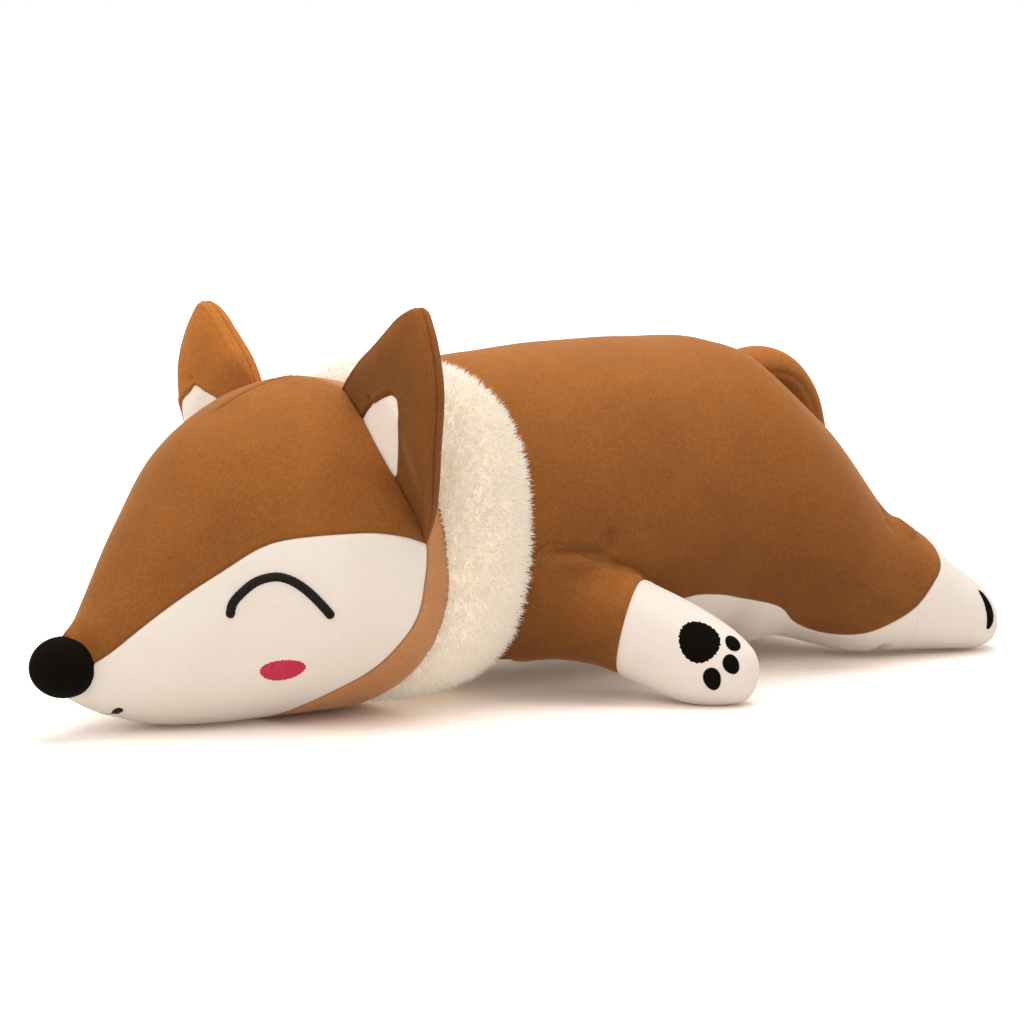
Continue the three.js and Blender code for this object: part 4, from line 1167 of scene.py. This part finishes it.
stitches = {
    "height": 1.1, "depth": 0.9, "sunk": 0.25, "ragged": 0.025,
    # the closed eye as places along the head and up, from its front end
    "eye": [(0.284, 0.3575), (0.2925, 0.4), (0.3185, 0.437), (0.347, 0.462), (0.384, 0.473),
            (0.416, 0.4636), (0.448, 0.437), (0.4815, 0.396), (0.5137, 0.351)],
    "eyeWidth": 4.0, "eyeHeight": 1.5,
    "blush": (70, 30.2), "blushHalf": (9.4, 5.0), "blushTurn": 0,
    "mouth": (12.6, 1.2, 14.9), "mouthWidth": 3.6, "mouthHeight": 1.0,
    # pads: the place, half sizes and turn of each palm and toe, as shares of its form and in mm
    "palm": (0.754, 0.273, 9.2, 9.8, 0), "pawTilt": 30,
    "toes": [
        (0.893, 0.305, 3.1, 4.2, 24), (0.895, 0.166, 3.6, 4.3, 8), (0.817, 0.063, 4.0, 4.3, 0)],
    "footPalm": (0.352, 0.165, 1.8, 9.8, 9),
    "footToes": [
        (-0.08, 0.2, 4.2, 4.6, 0), (-0.155, 0.13, 4.2, 4.6, 0), (-0.09, 0.062, 4.2, 4.6, 0)],
}


def onForm(form, side, origin, first, second, into, reach, places):
    # where flat places, given along two directions from an origin, land on a form that is looked
    # at along a third as far as its inside, and which way the form faces there
    def landed(a, b):
        start = origin + a[:, None] * first + b[:, None] * second
        return castOnto(form, side, start, into, reach)

    a, b = places.T
    here = landed(a, b)
    normals = unit(np.cross(landed(a + 0.3, b) - here, landed(a, b + 0.3) - here))
    return here, np.where((normals @ into)[:, None] > 0, -normals, normals)


def addOval(name, carrier, look, form, side, plane, centre, half, turn, seed=0):
    # a padded oval of stitches: it rises quickly from its edge and is nearly flat in its middle
    rings, count = 26, 72
    w = np.sin(np.linspace(0, np.pi, rings))[:, None]
    top = (np.arange(rings) < rings / 2)[:, None]
    u = turns(count)
    ragged = np.sin(23 * u + seed) + np.sin(37 * u + 2 * seed) + np.sin(3 * u + seed)
    ragged = 1 + stitches["ragged"] * ragged
    a, b = half[0] * w * np.cos(u) * ragged, half[1] * w * np.sin(u) * ragged
    c, s = math.cos(math.radians(turn)), math.sin(math.radians(turn))
    flat = np.stack([centre[0] + a * c - b * s, centre[1] + a * s + b * c], -1).reshape(-1, 2)
    here, normals = onForm(form, side, *plane, flat)
    height = stitches["height"] * np.sqrt(1 - w**6) - stitches["sunk"]
    height = np.where(top, height, -stitches["depth"]) + 0 * u
    points, faces = poledForm((here + normals * height.reshape(-1, 1)).reshape(rings, count, 3))
    marks = {"along": poledValues(a), "across": poledValues(b)}
    addPiece(name, points, faces, look, carrier, marks=marks)


def addLine(name, form, side, plane, places, width, height, fullness=1):
    # a raised line of black stitches: an oval section carried along a path, round at both ends
    here, normals = onForm(form, side, *plane, places)
    reach = distanceAlong(here)
    across = unit(np.cross(normals, unit(np.gradient(here, axis=0))))
    end = np.minimum(reach, reach[-1] - reach) / (0.5 * width)
    full = (fullness * np.sqrt(1 - np.clip(1 - end, 0, 1) ** 2))[:, None, None]
    angle = turns(28)[:, None]
    up = np.sin(angle)
    ripple = 1 + stitches["ragged"] * np.sin(reach / 0.32)[:, None, None]
    grid = here[:, None] + across[:, None] * 0.5 * width * full * ripple * np.cos(angle)
    grid = grid + normals[:, None] * np.where(up > 0, height * full * up, stitches["depth"] * up)
    grid[[0, -1]] = grid[[0, -1]].mean(1, keepdims=True)
    points, faces = poledForm(grid)
    even = np.zeros(grid.shape[:2])
    marks = {"along": poledValues(reach[:, None] + even),
             "across": poledValues(0.5 * width * np.cos(angle[:, 0]) + even)}
    addPiece(name, points, faces, "black", "head", marks=marks)


def formPlane(form, side, looking, tilt=0):
    # a form's own directions in the toy's frame: origin, two directions in the plane, the one into
    # it, which may tilt down from the side, and how far to look
    origin = place(form, side, 0.0, 0.0, 0.0)
    ahead = place(form, side, 1.0, 0.0, 0.0) - origin
    across = side * (place(form, side, 0.0, 1.0, 0.0) - origin)
    up = np.array([0, 0, 1.0])
    if looking == "back":
        return origin + (form["length"] + 30) * ahead, across, up, -ahead, 200
    c, s = math.cos(math.radians(tilt)), math.sin(math.radians(tilt))
    into = -across * c - up * s
    return origin + 100 * (across * c + up * s), ahead, up * c - across * s, into, 200


def addEmbroidery():
    eye = alongRows(stitches["eye"], 0.5 - 0.5 * np.cos(np.linspace(0, np.pi, 110)))
    eye = eye * [head["length"], head["height"]]
    for name, side in sides.items():
        face = formPlane(head, side, "sideways")
        addLine(f"eyeStitch_{name}", head, side, face, eye, stitches["eyeWidth"],
                stitches["eyeHeight"])
        addOval(f"blush_{name}", "head", "red", head, side, face, stitches["blush"],
                stitches["blushHalf"], stitches["blushTurn"])
        plane = formPlane(arm, side, "sideways", stitches["pawTilt"])
        paw = (arm, plane, arm["length"], f"arm_{name}")
        foot = (leg, formPlane(leg, side, "back"), leg["halfWidth"], "torso")
        pads = [(f"pawPalm_{name}", paw, stitches["palm"]),
                (f"footPalm_{name}", foot, stitches["footPalm"])]
        for kind, limb, toes in (("pawToe", paw, "toes"), ("footToe", foot, "footToes")):
            pads += [(f"{kind}_{name}_{k + 1}", limb, toe) for k, toe in enumerate(stitches[toes])]
        for seed, (pad, limb, (a, b, *half, turn)) in enumerate(pads, 1):
            form, plane, scale, carrier = limb
            addOval(pad, carrier, "velvet", form, side, plane, (a * scale, b * form["height"]),
                    half, turn, seed)
    back, dip, half = stitches["mouth"]
    share = -np.cos(np.linspace(0, np.pi, 60))
    mouth = np.stack([back + dip * share**2, half * share], 1)
    under = (place(head, 1, 0.0, 0.0, -40.0), *np.identity(3), 66)
    addLine("mouthStitch", head, 1, under, mouth, stitches["mouthWidth"], stitches["mouthHeight"],
            0.12 + 0.88 * smoothStep(np.abs(share), 0.5, 0.8))


addEmbroidery()
print("embroidery made")

# Collar: a padded band round the neck, covered in locks of pile

collar = {
    "rear": -36, "front": -88, "chin": 26, "crown": 8, "centre": 80, "outer": 75, "pile": 18,
    "square": 2.4, "round": 0.8, "grid": (260, 56),
    # the locks: how many, where round the section they stand, how deep they start, how they lie
    "locks": 62000, "pieces": 5, "turns": (-0.3, 3.4), "rooted": 1.5, "ahead": 4, "clear": 2.5,
    "length": (5, 7.6), "width": 0.62, "lean": 0.3, "curl": 0.4, "droop": 0.1,
}


def collarPlace(angle, turn, grow=0):
    # a point of the band for an angle round the neck and one round its section: the section is an
    # oval that reaches further forward under the chin, and the ring is a little square
    c, s, square = np.cos(angle), np.sin(angle), collar["square"]
    chin = collar["chin"] * (0.5 - 0.5 * s) ** 4
    crown = collar["crown"] * np.maximum(s, 0) ** 6
    front = collar["front"] - chin - crown
    middle, half = 0.5 * (collar["rear"] + front), 0.5 * (collar["rear"] - front)
    radius = (collar["pile"] + grow) * signedPower(np.sin(turn), collar["round"])
    radius = collar["outer"] - collar["pile"] + radius
    radius = radius * (np.abs(c) ** square + np.abs(s) ** square) ** (-1 / square)
    x = middle + (half + grow) * np.cos(turn)
    return np.stack([x, radius * c, collar["centre"] - sunk + radius * s], -1)


def addCollar():
    around, count = collar["grid"]
    points = collarPlace(turns(around)[:, None], turns(count)).reshape(-1, 3)
    a, b = np.meshgrid(np.arange(around), np.arange(count), indexing="ij")
    nextA, nextB = (a + 1) % around, (b + 1) % count
    corners = [a * count + b, nextA * count + b, nextA * count + nextB, a * count + nextB]
    faces = triangles(np.stack(corners, -1).reshape(-1, 4))
    points[:, 2] = np.maximum(points[:, 2], 1.0)
    addPiece("collarBand", points, outward(points, faces), "fur", "torso", node="fur_collar",
             marks={"lock": 0.5, "tip": 0.7}, fill=0.7)

    n = collar["locks"]
    angle = rng.uniform(0, 2 * np.pi, n)
    turn = rng.uniform(*collar["turns"], n)
    root = collarPlace(angle, turn, -collar["rooted"])
    way = unit(collarPlace(angle, turn, collar["ahead"]) - root)
    length = rng.uniform(*collar["length"], n)
    way = unit(way + collar["lean"] * rng.normal(size=(n, 3)) + [0, 0, -collar["droop"]])
    free = root[:, 2] > 0.5
    for form in (head, body):
        free &= outside(form, 1, *(root + collar["clear"] * way).T) > 0
    addLocks(*(each[free] for each in (angle, root, way, length)))


def addLocks(angle, root, way, length):
    # each lock is a curled spike of three sides: rings of three points that shrink towards its tip
    n = len(root)
    first = unit(np.cross(way, [0.3, 0.2, 1.0]))
    second = np.cross(way, first)
    curl = rng.uniform(0, 2 * np.pi, n)[:, None]
    bend = (first * np.cos(curl) + second * np.sin(curl)) * (collar["curl"] * rng.random((n, 1)))
    width = collar["width"] * rng.uniform(0.7, 1.3, n)[:, None]
    stations = np.array([0, 0.55, 1.0])
    fullness = np.array([1.0, 0.75])
    centre = root[:, None] + length[:, None, None] * (
        way[:, None] * stations[:, None] + bend[:, None] * stations[:, None] ** 2)
    corner = np.arange(3)[:, None] * 2 * np.pi / 3
    ring = first[:, None] * np.cos(corner) + second[:, None] * np.sin(corner)
    points = centre[:, :2, None] + (0.5 * width * fullness)[..., None, None] * ring[:, None]
    points = np.concatenate([points.reshape(n, 6, 3), centre[:, 2:]], 1)
    points[..., 2] = np.maximum(points[..., 2], 0.3)
    faces = [(0, 2, 1), (3, 4, 6), (4, 5, 6), (5, 3, 6)]
    for a, b in ((0, 1), (1, 2), (2, 0)):
        faces += [(a, b, 3 + b), (a, 3 + b, 3 + a)]
    tip = np.append(np.repeat(stations[:2], 3), 1.0)
    lock = rng.random(n)
    part = (np.mod(angle, 2 * np.pi) / (2 * np.pi) * collar["pieces"]).astype(int)
    for k in range(collar["pieces"]):
        mine = part == k
        count = mine.sum()
        lockFaces = (np.array(faces) + 7 * np.arange(count)[:, None, None]).reshape(-1, 3)
        marks = {"lock": np.repeat(lock[mine], 7), "tip": np.tile(tip, count)}
        addPiece(f"collarPile_{k + 1}", points[mine].reshape(-1, 3), lockFaces, "fur", "torso",
                 node="fur_collar", marks=marks)


addCollar()
print("collar made")

# Floor, backdrop, lamps and camera

studio = {
    "azimuth": -38, "elevation": 7, "distance": 1.43, "target": (0.0055, 0, 0.080), "lens": 105.2,
    "floorTint": (0.94, 0.9, 0.86), "world": 0.8,
    "floorSeen": (1.24, 1.13, 1.05),  # brighter for the camera, so that only deep shade stays grey
    "glow": (0.0, 0.6), "glowReach": (0.35, 0.9),  # the floor's own light, near and far
    # where each lamp is, its size in metres, and its power
    "lamps": {"above": ((0.05, 0.05, 1.25), 1.1, 10.4), "key": ((-0.95, -0.55, 0.85), 0.7, 2.4)},
}


def addStudio():
    scene = bpy.context.scene
    scene.view_settings.view_transform = "Standard"
    azimuth, elevation = (math.radians(studio[key]) for key in ("azimuth", "elevation"))
    flat = math.cos(elevation)
    back = Vector((math.sin(azimuth) * flat, -math.cos(azimuth) * flat, math.sin(elevation)))
    camera = bpy.data.objects.new("camera", bpy.data.cameras.new("camera"))
    camera.location = Vector(studio["target"]) + studio["distance"] * back
    camera.rotation_euler = back.to_track_quat("Z", "Y").to_euler()
    camera.data.lens = studio["lens"]
    camera.data.sensor_width = 36
    scene.collection.objects.link(camera)
    scene.camera = camera
    for name, (spot, size, power) in studio["lamps"].items():
        lamp = bpy.data.objects.new(name, bpy.data.lights.new(name, "AREA"))
        lamp.data.size, lamp.data.energy = size, power
        lamp.location = spot
        way = Vector(spot) - Vector((0, 0, 0.05))
        lamp.rotation_euler = way.to_track_quat("Z", "Y").to_euler()
        scene.collection.objects.link(lamp)
    mesh = bpy.data.meshes.new("floor")
    mesh.from_pydata([(-4, -4, 0), (4, -4, 0), (4, 4, 0), (-4, 4, 0)], [], [(0, 1, 2, 3)])
    floor = bpy.data.objects.new("floor", mesh)
    scene.collection.objects.link(floor)
    white = (1, 1, 1, 1)
    r = Recipe("PaleFloor")
    seen, mirrored = r.rays()
    plain = r.node("BsdfDiffuse", None, {"Color": (*studio["floorTint"], 1)})
    glow = r.node("Emission", None, {"Color": white, "Strength": 1.0})
    away = r.node(
        "VectorMath", {"operation": "LENGTH"}, {0: r.node("TexCoord", output="Object")}, "Value")
    pale = r.node("BsdfDiffuse", None, {"Color": (*studio["floorSeen"], 1)})
    light = r.between(away, *studio["glowReach"], *studio["glow"])
    light = r.node("Emission", None, {"Color": white, "Strength": light})
    lit = r.node("AddShader", None, {0: pale, 1: light})
    shown = r.node("MixShader", None, {0: seen, 1: plain, 2: lit})
    shown = r.node("MixShader", None, {0: mirrored, 1: shown, 2: glow})
    r.node("OutputMaterial", None, {"Surface": shown})
    mesh.materials.append(r.made)
    r = Recipe("studio", bpy.data.worlds)
    strength = r.between(r.larger(*r.rays()), 0, 1, studio["world"], 1)
    sky = r.node("Background", None, {"Color": white, "Strength": strength})
    r.node("OutputWorld", None, {"Surface": sky})
    scene.world = r.made


addStudio()
print("studio made")
